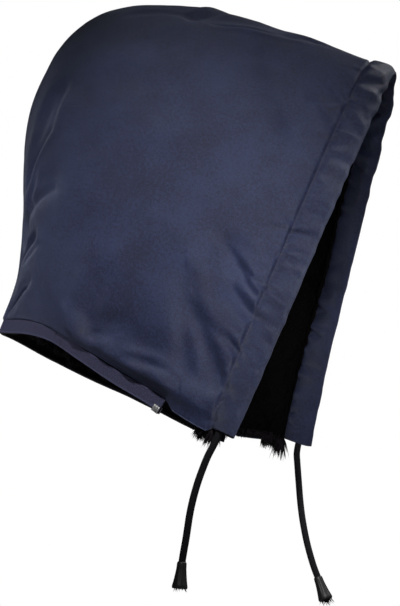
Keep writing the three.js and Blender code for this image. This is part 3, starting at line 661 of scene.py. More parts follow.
# side, back and breadth as shares of the way to the nape, then in mm the height above the seam
# where the pouch is fullest, and how far it stands out there
POUCHES = [
    (-1, 0.13, 0.05, 11, 5.0),
    (-1, 0.23, 0.055, 12, 9.0),
    (-1, 0.34, 0.055, 11, 8.5),
    (-1, 0.44, 0.05, 13, 6.5),
    (-1, 0.56, 0.055, 15, 6.5),
    (1, 0.14, 0.05, 10, 5.0),
    (1, 0.27, 0.07, 11, 6.5),
    (1, 0.42, 0.06, 12, 5.5),
    (1, 0.56, 0.05, 13, 4.5),
]


def roll_in(distance, reach, depth):
    """Depth of a rounded edge: depth times (1 - distance / reach)^2 up to the reach."""
    return depth * np.clip(1 - distance / reach, 0, 1) ** 2


def neck_tuck(net):
    """How deep the cloth is drawn in at the neck seam: a rounded edge that is deepest along the
    side of the neck and shallow at the nape and at the front corner."""
    along_side = ramp(net.back, 0.02, 0.18) * np.clip((0.8 - net.back) / 0.4, 0.12, 1)
    return roll_in(net.from_neck, NECK_TUCK_REACH, NECK_TUCK) * along_side


def pouches(net):
    """Each pouch rises by 3t^2 - 2t^3 from the seam to its height, dies away slowly above, and is
    a bell curve along the seam."""
    total = np.zeros_like(net.back)
    up = net.from_neck / MM
    for side, back, breadth, height, proud in POUCHES:
        if side == net.side:
            rise = eased(np.clip((up - POUCH_START) / height, 0, 1))
            above = hump(np.maximum(up - 1.2 * height, 0), POUCH_FADE)
            total += proud * MM * hump(net.back - back, breadth) * rise * above
    return total

# %% [markdown]
# ## The two halves of the shell
# A shell half is a wall of twill 2 mm thick, padded and turned in at its edges. Its outer grid
# carries the folds, its inner grid lies 2 mm deeper, and strips along the four edges close it.
# Beside the stitch line, the crown seam and the neck seam the cloth rolls in to meet its
# neighbour, as a sewn edge does. In front of the zip's end the lower edge is free and hangs a
# little lower. The folds are moved points and not a simulation, because each one has its place.

# %% A wall between two grids
def rim_faces(lines, columns, offset):
    """Faces that join the edges of two equal grids, once round."""
    edge = np.concatenate([
        np.arange(columns),
        np.arange(1, lines) * columns + columns - 1,
        (lines - 1) * columns + np.arange(columns - 2, -1, -1),
        np.arange(lines - 2, 0, -1) * columns,
    ])
    after = np.roll(edge, -1)
    return np.stack([edge, edge + offset, after + offset, after], -1)


def wall_faces(lines, columns):
    """Faces of a closed wall: an outer grid, an inner grid turned the other way, and the rim."""
    offset = lines * columns
    inner = grid_faces(lines, columns, start=offset)[:, ::-1]
    rim = rim_faces(lines, columns, offset)[:, ::-1]
    return [np.vstack([grid_faces(lines, columns), inner, rim])]


def over_crown(right, left):
    """One grid over both halves: up the right one, once along the crown seam, down the left one."""
    seam = (right[-1] + left[-1]) / 2
    seam[:, 0] = 0
    return np.concatenate([right[:-1], seam[None], left[:-1][::-1]])


def crowded(count, power_low, power_high):
    """Shares from 0 to 1 that lie closer together at both ends."""
    t = np.linspace(0, 1, count)
    return t**power_low * (1 - t) + (1 - (1 - t) ** power_high) * t

# %% The shell
SHELL_WALL = 2 * MM
SHELL_ROWS = 214
SHELL_COLUMNS = 204
SEAM_ROLL = 3.2 * MM
STITCH_DIP = 2.0 * MM
CROWN_DIP = 0.9 * MM
EDGE_ROLL = 1.6 * MM
EDGE_DIP = 0.7 * MM
CROWN_SETTLE = 9 * MM
CROWN_LEAST = 0.35
UNDERLAP = -1.5 * MM
LIP = 4.5 * MM
LIP_PROUD = 1.2 * MM
LIP_REACH = 9 * MM
LIP_END = 73.5 * MM
LIP_FADE = 9 * MM
LIP_START = 5 * MM


def shell_height(net):
    """All that shapes the outside of a shell half, from the folds to its rolled edges."""
    height = crease_height(net) + gather_height(net) + ease_height(net)
    settled = 1 - hump(net.from_crown, CROWN_SETTLE)
    height = height * (CROWN_LEAST + (1 - CROWN_LEAST) * settled)
    height -= roll_in(net.from_edge - HEM_WIDTH, SEAM_ROLL, STITCH_DIP)
    height -= roll_in(net.from_crown, SEAM_ROLL, CROWN_DIP)
    height -= roll_in(np.minimum(net.from_neck, net.from_nape), EDGE_ROLL, EDGE_DIP)
    return height - neck_tuck(net) + pouches(net)


def dressed_points(net, height):
    """The cloth with its folds: each point moved along its own direction."""
    return net.points + net.normals * (height - fold_depth(net))[..., None]


def shell_piece(name, side):
    """The outer grid and the inner grid of one half, with the lengths on the cloth as UV."""
    ups = crowded(SHELL_ROWS, 1.15, 1.15)
    net = Net(side, ups, crowded(SHELL_COLUMNS, 1.2, 1.1), gap=UNDERLAP)
    height = shell_height(net)
    down = unit(net.points[0] - net.points[5])
    lip = ramp(net.from_edge, LIP_END, LIP_END - LIP_FADE)
    lip *= ramp(net.from_edge, HEM_WIDTH, HEM_WIDTH + LIP_START)
    lip *= roll_in(net.from_neck, LIP_REACH, 1)
    grids = np.stack([dressed_points(net, height), dressed_points(net, height - SHELL_WALL)])
    grids += down * (LIP * lip)[..., None] + net.normals * (LIP_PROUD * lip**2)[..., None]
    grids[..., 0] = side * np.maximum(side * grids[..., 0], GAP / 2)
    uv = np.stack([net.from_edge, net.from_neck], -1) / MM
    slopes = np.gradient(net.points, axis=0), np.gradient(net.points, axis=1)
    area = np.linalg.norm(np.cross(*slopes), axis=-1).sum()
    print(name, "takes", round(area, 4), "square metres of cloth")
    piece = make_piece(name, grids, wall_faces(*net.back.shape), np.stack([uv, uv]))
    return piece, area


right_shell, right_area = shell_piece("twill_shell_right", -1)
left_shell, left_area = shell_piece("twill_shell_left", 1)

# %% [markdown]
# ## The casing round the face
# The twill is folded back at the face edge and stitched down 24 mm behind it, which leaves a
# tunnel for the cord. A table gives the depths of its two faces below the cloth. The section is a
# ring through the outer face, the fold and the inner face, and it is carried from the right mouth
# up over the peak and down to the left mouth. The tunnel is a second ring inside the first.

# %% The casing's section and its gathers
HEM_THICKNESS = 8.4 * MM
HEM_LEAF = 1.1 * MM
HEM_ROWS = 440
LEAF_POINTS = 15
FOLD_POINTS = 4
EDGE_WAVE = 1.7 * MM
EDGE_WAVE_SIZE = 8 * MM
WAVY_PEAK = (0.88, 0.14)
WAVY_LEAST = 0.25
WAVY_SHARE = 0.6
MOUTH_HOLD = 9 * MM
MOUTH_LEAST = 0.12
FRONT_HOLD = 0.2
FRONT_LEAST = 0.3
CROWD = (0.93, 0.16)
OUTER_GATHERS = 1.5
INNER_GATHERS = 2.3
INNER_FOLDS = 0.6
# back from the face edge to the stitches, and depth of the outer and the inner face
HEM_SECTION = np.array([
    (0, 0.18, 0.46),
    (0.1, 0, 0.68),
    (0.28, -0.13, 0.86),
    (0.5, -0.18, 0.91),
    (0.74, -0.15, 0.9),
    (0.9, -0.02, 0.78),
    (1, 0.24, 0.55),
])
PANEL_STOPS = np.array([0.03, 0.07, 0.12, 0.2, 0.4, 0.7, 1.0])
LONG_CASING = (36, (9, 20), (2.6, 5), (0.4, 1.1), 0.1)
SHORT_CASING = (74, (4, 9), (1.5, 2.6), (0.2, 0.6), 0)
EDGE_CASING = (40, (7, 15), (2.6, 5), (0.2, 0.7), 0)


def casing_height(net, seed, peak):
    """Gathers across the casing: puckers that start at the stitches, others that start at the face
    edge, and a crowd of them near the peak, where the cord draws the cloth together."""
    run, inward = net.from_neck, np.maximum(HEM_WIDTH - net.from_edge, 0)
    height = puckers(run, inward, seed, *LONG_CASING)
    height += puckers(run, inward, seed + 1, *SHORT_CASING)
    height += puckers(run, net.from_edge, seed + 2, *EDGE_CASING)
    return (height * (drawn_in(net) + peak * hump(net.up - CROWD[0], CROWD[1])))[:, :LEAF_POINTS]


def casing_grid(side, ups):
    """One half of the casing as rings (rows, points round the section, 3). The fold at the face
    edge is half a circle between the two faces, and noise makes that edge wavy."""
    backs, outer_depth, inner_depth = blend_rows(HEM_SECTION, np.linspace(0, 1, LEAF_POINTS)).T
    net = Net(side, ups, PANEL_STOPS, backs * HEM_WIDTH)
    points, normals, from_neck = (
        values[:, :LEAF_POINTS] for values in (net.points, net.normals, net.from_neck))
    slow = crease_height(net)[:, :LEAF_POINTS] * (0.5 + 0.5 * backs**2)
    slow += ease_height(net)[:, :LEAF_POINTS]
    held = np.clip(backs / FRONT_HOLD, FRONT_LEAST, 1)
    held = held * np.clip(from_neck / MOUTH_HOLD, MOUTH_LEAST, 1)
    outside = (slow + OUTER_GATHERS * casing_height(net, 81 + side, 0.4)) * held
    inside = (INNER_FOLDS * slow - INNER_GATHERS * casing_height(net, 91 + side, 2.0)) * held
    front = unit(points[:, 0] - points[:, 1])
    waves = noise_along(from_neck[:, 0], EDGE_WAVE_SIZE, 97 + side)
    waves = waves * EDGE_WAVE * (WAVY_LEAST + hump(ups - WAVY_PEAK[0], WAVY_PEAK[1]))
    waves = front[:, None] * waves[:, None, None] * (ramp(backs, WAVY_SHARE, 0) ** 2)[:, None]
    outer = points + normals * (outside - outer_depth * HEM_THICKNESS)[..., None] + waves
    inner = points + normals * (inside - inner_depth * HEM_THICKNESS)[..., None] + waves
    middle = (outer[:, 0] + inner[:, 0]) / 2
    radius = (outer[:, 0] - inner[:, 0]) / 2
    angle = np.linspace(0, np.pi, FOLD_POINTS + 2)[1:-1]
    reach = front * np.linalg.norm(radius, axis=-1, keepdims=True)
    fold = middle[:, None] + circle(radius, reach, angle)
    return np.concatenate([outer[:, ::-1], fold, inner], 1), from_neck[-1, 0]

# %% The casing
def shrunk(rings, leaf):
    """Rings moved in by a leaf's thickness, towards a middle line through each section."""
    middle = rings.mean(1, keepdims=True)
    away = rings - middle
    size = np.linalg.norm(away, axis=-1, keepdims=True)
    return middle + away * np.clip(1 - leaf / np.maximum(size, 1e-9), 0.15, 1)


def casing_piece(name):
    """Outer rings and tunnel rings from mouth to mouth, joined by a ring of faces at each end."""
    ups = 1 - (1 - np.linspace(0, 1, HEM_ROWS)) ** 1.1
    right, half_length = casing_grid(-1, ups)
    left, _ = casing_grid(1, ups)
    rings = over_crown(right, left)
    lines, columns = rings.shape[:2]
    count, last = lines * columns, (lines - 1) * columns
    here = np.arange(columns)
    after = (here + 1) % columns
    faces = np.vstack([
        grid_faces(lines, columns, ring=True),
        grid_faces(lines, columns, ring=True, start=count)[:, ::-1],
        np.stack([here, here + count, after + count, after], -1),
        np.stack([last + after, last + after + count, last + here + count, last + here], -1),
    ])
    run = np.concatenate([ups[:-1], 2 - ups[::-1]]) * half_length / MM
    across = running(rings[lines // 4]) / MM
    uv = np.stack(np.broadcast_arrays(across[None], run[:, None]), -1)
    points = np.stack([rings, shrunk(rings, HEM_LEAF)])
    return make_piece(name, points, [faces], np.stack([uv, uv])), rings


casing, casing_rings = casing_piece("twill_casing")

# %% [markdown]
# ## Stitches
# A row of stitches closes the casing, outside and inside. Each stitch is one short bead of thread
# that dips into the cloth at both ends. They are all one mesh, made from one bead that is bent
# along the seam.

# %% Stitches along a line
STITCH_PITCH = 3.3 * MM
STITCH_LENGTH = 2.7 * MM
STITCH_RADIUS = 0.34 * MM
STITCH_RISE = 0.45 * MM
STITCH_SIDES = 6
STITCH_STEPS = 6
STITCH_START = 3 * MM
STITCH_END = 6 * MM


def stitch_beads(line, outward):
    """Beads along a line: at each, the middle line is a piece of the seam raised by
    rise (1 - v^2), and the radius is r sqrt(1 - v^4), with v from -1 to 1 along the bead."""
    starts = np.arange(STITCH_START, running(line)[-1] - STITCH_END, STITCH_PITCH)
    v = np.linspace(-0.98, 0.98, STITCH_STEPS)
    places = starts[:, None] + (v[None] + 1) / 2 * STITCH_LENGTH
    joined = at_lengths(np.concatenate([line, outward], 1)[None], places.reshape(1, -1))[0]
    joined = joined.reshape(*places.shape, 6)
    middle, up = joined[..., :3], unit(joined[..., 3:])
    across = unit(np.cross(unit(np.gradient(middle, axis=1)), up))
    middle = middle + up * (STITCH_RISE * (1 - v**2))[:, None]
    radius = STITCH_RADIUS * np.sqrt(1 - v**4)
    return middle[:, :, None] + circle(across, up, around(STITCH_SIDES)) * radius[:, None, None]


def ring_line(column):
    """The seam at one column of the casing's rings, and the way out of the section there."""
    line = casing_rings[:, column]
    return line, unit(line - casing_rings.mean(1))


def stitches_piece(name, lines):
    """All beads of all lines as one mesh, each closed by a six-sided face at both ends."""
    beads = np.concatenate([stitch_beads(line, outward) for line, outward in lines])
    first = (np.arange(len(beads)) * STITCH_STEPS * STITCH_SIDES)[:, None, None]
    sides = grid_faces(STITCH_STEPS, STITCH_SIDES, ring=True)[None] + first
    caps = end_caps(STITCH_STEPS, STITCH_SIDES)[None] + first
    return make_piece(name, beads, [sides.reshape(-1, 4), caps.reshape(-1, STITCH_SIDES)])


casing_stitches = stitches_piece("casing_stitches", [ring_line(1), ring_line(-2)])

# %% [markdown]
# ## The pile lining
# Inside, both halves are lined with deep black pile. Its wall is a closed surface whose inner side
# is clumped by noise. Tufts stand on it, each a thin bent spike that leans the way its clump lies.
# Real fur has too many hairs to model, and a few thousand tufts give the same broken outline.

# %% The wall of the lining
PILE_WALL = 6.5 * MM
LINING_OUTER = SHELL_WALL + GAP
LINING_ROWS = 96
LINING_COLUMNS = 96
# height and size of the clumps in mm, and their seed
CLUMPS = ((1.2, 9, 51), (0.7, 4.5, 52))


def clumps(points):
    """Height of the clumps of pile: the absolute value of noise turned over, so that round tops
    meet in sharp hollows, at two sizes."""
    return sum(high * MM * (1 - 2 * np.abs(smooth_noise(points, size * MM, seed)))
               for high, size, seed in CLUMPS)


def lining_half(side):
    """Outer grid, inner grid and directions of one half of the lining."""
    ups = crowded(LINING_ROWS, 1.1, 1.1)
    net = Net(side, ups, crowded(LINING_COLUMNS, 1.1, 1.1), gap=UNDERLAP)
    height = shell_height(net)
    outer = dressed_points(net, height - LINING_OUTER)
    inner = dressed_points(net, 0.5 * height - LINING_OUTER - PILE_WALL)
    return outer, inner - net.normals * clumps(inner)[..., None], net.normals


right_lining, left_lining = lining_half(-1), lining_half(1)
lining_grids = np.stack([over_crown(right_lining[k], left_lining[k]) for k in (0, 1)])
lining = make_piece("pile_wall", lining_grids, wall_faces(*lining_grids.shape[1:3]))

# %% Tufts of pile
TUFTS_A_HALF = 6000
TUFT_LENGTH = 6.5 * MM
TUFT_WIDTH = 1.5 * MM
TUFT_SINK = 1.2 * MM
CURL_SIZE = 11 * MM
HANG_SIZE = 6 * MM
DROOP = 0.35
GOLDEN_SHARE = 0.6180339887


def tuft_mesh(name, roots, lean, lengths, widths, hang):
    """Spikes of three sides in three steps. A spike's middle line is root + t length lean + t^2
    length hang, and its width shrinks with 1 - t. Its foot is closed by one triangle."""
    count = len(roots)
    lean = unit(lean)
    across = unit(np.cross(lean, np.array([0.31, 0.17, 0.93])))
    steps = np.array([0.0, 0.45, 0.8])
    t = steps[None, :, None]
    line = roots[:, None] + (lean[:, None] * t + hang[:, None] * t**2) * lengths[:, None, None]
    size = widths[:, None] * (1 - steps[None]) ** 0.8 / 2
    ring = circle(across, np.cross(lean, across), around(3))
    sides = line[:, :, None] + ring[:, None] * size[:, :, None, None]
    tips = roots + (lean + hang) * lengths[:, None]
    points = np.concatenate([sides.reshape(count, 9, 3), tips[:, None]], 1)
    fan = np.array([[6, 7, 9], [7, 8, 9], [8, 6, 9], [2, 1, 0]])
    first = (np.arange(count) * 10)[:, None, None]
    quads = grid_faces(3, 3, ring=True)[None] + first
    return make_piece(name, points, [quads.reshape(-1, 4), (fan[None] + first).reshape(-1, 3)])


def tufts_piece(name, half, seed):
    """Tufts all over the inside of one half, set out by a shuffled even count in both ways."""
    random = np.random.default_rng(seed)
    _, inner, normals = half
    place = np.arange(TUFTS_A_HALF)
    up_place = (place + 0.5) / TUFTS_A_HALF * (LINING_ROWS - 1)
    back_place = place * GOLDEN_SHARE % 1 * (LINING_COLUMNS - 1)
    roots = picked(inner, up_place, back_place)
    normals = picked(normals, up_place, back_place)
    lean = 0.9 * noise_ways(roots, CURL_SIZE, seed + 1) - normals * 0.75
    lean += random.normal(0, 0.3, roots.shape)
    hang = 0.4 * noise_ways(roots, HANG_SIZE, seed + 4)
    hang[:, 2] -= DROOP
    lengths = TUFT_LENGTH * random.uniform(0.65, 1.15, TUFTS_A_HALF)
    widths = TUFT_WIDTH * random.uniform(0.7, 1.3, TUFTS_A_HALF)
    return tuft_mesh(name, roots + normals * TUFT_SINK, lean, lengths, widths, hang)


right_tufts = tufts_piece("pile_tufts_right", right_lining, 61)
left_tufts = tufts_piece("pile_tufts_left", left_lining, 71)

# %% [markdown]
# ## The neck edge
# Everything of the zip follows the neck edge, from the right front corner round the nape to the
# left one. At each of its stops the cloth's direction and the way down along the cloth are known,
# so a section drawn in heights below the edge and depths in the cloth can be carried along it.

# %% The stops of the neck edge
EDGE_STEP = 1.0 * MM
CORNER_EASE = 9
EDGE_COLUMNS = 260
EDGE_ROWS = 160


def neck_stops():
    """Points, directions out of the cloth and ways down at even steps along the neck edge. The
    directions are evened out by a running mean."""
    halves = []
    for side in (-1, 1):
        net = Net(side, np.linspace(0, 1, EDGE_ROWS), np.linspace(0, 1, EDGE_COLUMNS))
        both = np.concatenate([dressed_points(net, -neck_tuck(net)), net.normals], -1)
        halves.append(np.concatenate([both[0], both[1:, -1]]))
    stops, length = even_stops(np.concatenate([halves[0], halves[1][:-1][::-1]]), EDGE_STEP)
    size = 2 * CORNER_EASE + 1
    padded = np.pad(stops, ((CORNER_EASE, CORNER_EASE), (0, 0)), mode="edge")
    mean = np.stack([np.convolve(part, np.ones(size) / size, mode="valid") for part in padded.T], -1)
    normals = unit(mean[:, 3:])
    down = unit(np.cross(unit(np.gradient(mean[:, :3], axis=0)), normals))
    down *= np.where(down[:, 2:] > 0, -1, 1)
    return np.concatenate([stops[:, :3], normals, down], 1), length


edge_stops, edge_length = neck_stops()
edge_run = running(edge_stops)
print("neck edge", round(edge_length / MM, 1), "mm")


def edge_at(run):
    """Points, directions out and ways down at lengths along the neck edge."""
    parts = np.stack([np.interp(run, edge_run, part) for part in edge_stops.T], -1)
    return parts[:, :3], unit(parts[:, 3:6]), unit(parts[:, 6:])


def carried(run, heights, depths):
    """Points at heights below the edge and depths in the cloth, at lengths along the edge."""
    points, normals, down = (values[:, None] for values in edge_at(run))
    return points + down * heights[..., None] - normals * depths[..., None]

# %% [markdown]
# ## The ragged edge of the pile
# Below the front corners the pile hangs out under the cloth, and all round the neck it lies over
# the inside of the zip tape. Longer tufts are rooted in the lining's lower edge. Their lengths
# follow a slow noise along the edge, which makes the edge ragged.

# %% Hanging tufts
FRINGE_TUFTS = 4200
FRINGE_LENGTH = 11 * MM
FRINGE_START = 0.5 * MM
FRINGE_SINK = 2.5 * MM
FRINGE_CURL = 8 * MM
RAGGED_SIZE = 7 * MM
CORNER_REACH = 30 * MM
CORNER_STOPS = 12


def fringe_piece(name):
    """Roots at random over the lower edge of the lining, a third of them near the front corners.
    Each tuft goes down along the cloth, turned by noise, and at the corners forward as well. Its
    length is the fringe's times 0.66, plus more at the corners, plus noise along the edge."""
    random = np.random.default_rng(83)
    run = random.uniform(FRINGE_START, edge_length - FRINGE_START, FRINGE_TUFTS)
    run[: FRINGE_TUFTS // 3] = random.uniform(FRINGE_START, CORNER_REACH, FRINGE_TUFTS // 3)
    half = FRINGE_TUFTS // 6
    run[:half] = edge_length - run[:half]
    points, normals, down = edge_at(run)
    depth = random.uniform(0.06, 1.0, FRINGE_TUFTS)
    roots = points - normals * (LINING_OUTER + depth * PILE_WALL)[:, None] - down * FRINGE_SINK
    curl = noise_ways(roots, FRINGE_CURL, 84)
    corner = ramp(np.minimum(run, edge_length - run), CORNER_REACH, 0)
    starts = edge_stops[[0, -1], :3] - edge_stops[[CORNER_STOPS, -1 - CORNER_STOPS], :3]
    forward = unit(np.where(run[:, None] < edge_length / 2, *starts))
    lean = down - 0.12 * normals + 0.5 * curl + random.normal(0, 0.16, roots.shape)
    lean += 1.1 * forward * (corner**2 * random.uniform(0, 1, FRINGE_TUFTS))[:, None]
    ragged = noise_along(run, RAGGED_SIZE, 88)
    lengths = FRINGE_LENGTH * (0.66 + 0.75 * corner**2 + 0.3 * ragged)
    lengths *= random.uniform(0.7, 1.1, FRINGE_TUFTS)
    widths = TUFT_WIDTH * random.uniform(0.8, 1.5, FRINGE_TUFTS)
    return tuft_mesh(name, roots, lean, lengths, widths, 0.35 * down + 0.25 * curl)


fringe = fringe_piece("pile_fringe")

# %% [markdown]
# ## Frayed yarn
# A little of each cord's own yarn sticks out of the mouth of its bell, where the cord was knotted
# and cut. It is a handful of short tufts rooted on the floor of the mouth.

# %% Yarn in the mouths of the bells
YARN_ENDS = 46
YARN_WIDTH = 1.7 * MM
YARN_SPREAD = 3.4 * MM
YARN_ROOT = END_LENGTH * 0.79 - END_SOCKET


def frayed_yarn(name, path, length, seed):
    """Roots at random on a disc at the mouth's floor, each leaning along the cord and outwards."""
    random = np.random.default_rng(seed)
    along = unit(path[-1] - path[-8])
    across, over = across_and_over(along)
    angle = random.uniform(0, 2 * np.pi, YARN_ENDS)
    reach = YARN_SPREAD * random.uniform(0, 1, (YARN_ENDS, 1)) ** 0.5
    side = circle(across, over, angle) * reach
    roots = path[-1] + along * YARN_ROOT + side
    lean = along + side / YARN_SPREAD * 0.28 + random.normal(0, 0.12, roots.shape)
    hang = random.normal(0, 0.22, roots.shape)
    lengths = length * random.uniform(0.65, 1, YARN_ENDS)
    return tuft_mesh(name, roots, lean, lengths, np.full(YARN_ENDS, YARN_WIDTH), hang)


right_yarn = frayed_yarn("frayed_yarn_right", right_path, 6.5 * MM, 101)
left_yarn = frayed_yarn("frayed_yarn_left", left_path, 9 * MM, 102)

# %% [markdown]
# ## The zip half
# A woven tape hangs below the neck seam, 12 mm high. Along its inner lower edge runs the coil, one
# long loop of stiff thread that its teeth are made of. Where the tape starts on the right, a
# pressed metal stop is clamped round its lower edge.

# %% The woven tape
TAPE_HEIGHT = 12 * MM
TAPE_WALL = 1.2 * MM
TAPE_INSET = 0.4 * MM
TAPE_SETBACK = 50 * MM
TAPE_RIM = 1.5 * MM
TAPE_RIM_PROUD = 0.28 * MM
TAPE_POINTS = 10
RIM_POINTS = 11


def tape_piece(name):
    """A section carried along the neck edge: outer face down, round the lower rim and up the inner
    face. The rim is a woven cord that stands a little proud of both faces."""
    height = np.linspace(GAP, TAPE_HEIGHT - TAPE_RIM, TAPE_POINTS)
    rim = TAPE_WALL / 2 + TAPE_RIM_PROUD
    middle = TAPE_INSET + TAPE_WALL / 2
    angle = np.linspace(-np.pi / 2, np.pi / 2, RIM_POINTS)
    round_rim = np.column_stack([TAPE_HEIGHT - rim + np.cos(angle) * rim, middle + np.sin(angle) * rim])
    outer = np.column_stack([height, np.full(TAPE_POINTS, TAPE_INSET)])
    inner = np.column_stack([height[::-1], np.full(TAPE_POINTS, TAPE_INSET + TAPE_WALL)])
    section = np.concatenate([outer, round_rim, inner])
    run = edge_run[(edge_run >= TAPE_SETBACK) & (edge_run <= edge_length - TAPE_SETBACK)]
    grid = carried(run, section[None, :, 0], section[None, :, 1])
    lines, columns = grid.shape[:2]
    round_it = running(np.column_stack([section, np.zeros(columns)]))
    uvs = np.stack(np.broadcast_arrays(run[:, None], round_it[None]), -1) / MM
    return make_piece(name, grid, [grid_faces(lines, columns, ring=True), end_caps(lines, columns)], uvs)


tape = tape_piece("woven_tape")
tape_length = edge_length - 2 * TAPE_SETBACK
print("tape length", round(tape_length / MM, 1), "mm")

# %% The coil
COIL_HEIGHT = 3.2 * MM
COIL_WALL = 2 * MM
COIL_PROUD = 0.6 * MM
COIL_PITCH = 1.25 * MM
COIL_WIRE = 0.36 * MM
COIL_END = 2 * MM
TURN_POINTS = 14
WIRE_SIDES = 5


def coil_piece(name):
    """A wire on a flattened screw: along the edge by one pitch a turn, with its height and depth on
    an oval. The wire's own section has five sides, square to its path."""
    start, end = TAPE_SETBACK + COIL_END, edge_length - TAPE_SETBACK - COIL_END
    turns = (end - start) / COIL_PITCH
    phase = np.linspace(0, turns, int(turns * TURN_POINTS))
    turned = 2 * np.pi * phase
    run = start + phase * COIL_PITCH
    high = TAPE_HEIGHT + COIL_PROUD - COIL_HEIGHT / 2 + (COIL_HEIGHT / 2 - COIL_WIRE) * np.cos(turned)
    deep = TAPE_INSET + TAPE_WALL + GAP + COIL_WALL / 2 + (COIL_WALL / 2 - COIL_WIRE) * np.sin(turned)
    path = carried(run, high[:, None], deep[:, None])[:, 0]
    _, normals, down = edge_at(run)
    along = unit(np.gradient(path, axis=0))
    outward = normals * np.cos(turned)[:, None] + down * np.sin(turned)[:, None]
    across = unit(np.cross(along, outward))
    grid = path[:, None] + circle(across, np.cross(along, across), around(WIRE_SIDES)) * COIL_WIRE
    faces = [grid_faces(len(path), WIRE_SIDES, ring=True), end_caps(len(path), WIRE_SIDES)]
    return make_piece(name, grid, faces)


coil = coil_piece("coil_teeth")

# %% The metal stop
# its length and the places and breadth of its grooves are in mm along the edge
STOP_LENGTH = 6.5
STOP_HEIGHT = 4.8 * MM
STOP_WALL = 0.8 * MM
STOP_ROUND = 0.3 * MM
GROOVES = (2.2, 4.3)
GROOVE_BREADTH = 0.5
GROOVE_DEPTH = 0.6 * MM


def stop_piece(name):
    """A clip with a section like a hook: down the outside of the tape, under it and up behind the
    coil. Two grooves across it are pressed in, so its outer face dips at two lengths."""
    outer = TAPE_INSET - GAP - STOP_WALL
    inner = TAPE_INSET + TAPE_WALL + GAP + COIL_WALL + GAP
    bottom = TAPE_HEIGHT + COIL_PROUD + GAP
    top, under, back = bottom - STOP_HEIGHT, bottom + STOP_WALL, inner + STOP_WALL
    section = np.array([
        (top + STOP_ROUND, outer), (under - STOP_ROUND, outer), (under, outer + STOP_ROUND),
        (under, back - STOP_ROUND), (under - STOP_ROUND, back), (top, back), (top, inner),
        (bottom, inner), (bottom, outer + STOP_WALL), (top, outer + STOP_WALL),
        (top, outer + STOP_ROUND),
    ])
    distance = np.concatenate([[0, 0.25], np.linspace(0.6, 5.9, 28), [6.25, STOP_LENGTH]])
    groove = sum(hump(distance - place, GROOVE_BREADTH) for place in GROOVES)
    ends = ramp(np.minimum(distance, STOP_LENGTH - distance), 0.3, 0) * 0.2 * MM
    depths = np.tile(section[:, 1], (len(distance), 1))
    depths[:, [0, 1, 2, 10]] += (GROOVE_DEPTH * groove + ends)[:, None]
    grid = carried(TAPE_SETBACK + GAP + distance * MM, section[None, :, 0], depths)
    lines, columns = grid.shape[:2]
    last = (lines - 1) * columns
    quads = np.array([[0, 1, 8, 9], [2, 3, 7, 8], [4, 5, 6, 7]])
    triangles = np.array([[1, 2, 8], [3, 4, 7], [0, 9, 10]])
    closing = [np.concatenate([end[:, ::-1], end + last]) for end in (quads, triangles)]
    return make_piece(name, grid, [grid_faces(lines, columns, ring=True), *closing])


stop = stop_piece("pressed_stop")

# %% [markdown]
# ## Shader arithmetic
# A finish is easier to read as a formula than as a tangle of nodes. A small class wraps a socket,
# so that sums and products of sockets add the Math nodes they stand for. Every other node comes
# from one method, which takes its type, its settings and what goes into its sockets.

# %% A socket that can be reckoned with
class Wire:
    """A value in a material. Sums, differences and products with it add Math nodes."""

    def __init__(self, paint, socket):
        self.paint = paint
        self.socket = socket

    def __add__(self, other):
        return self.paint.math("ADD", self, other)

    def __radd__(self, other):
        return self.paint.math("ADD", other, self)

    def __sub__(self, other):
        return self.paint.math("SUBTRACT", self, other)

    def __rsub__(self, other):
        return self.paint.math("SUBTRACT", other, self)

    def __mul__(self, other):
        return self.paint.math("MULTIPLY", self, other)

    def __rmul__(self, other):
        return self.paint.math("MULTIPLY", other, self)


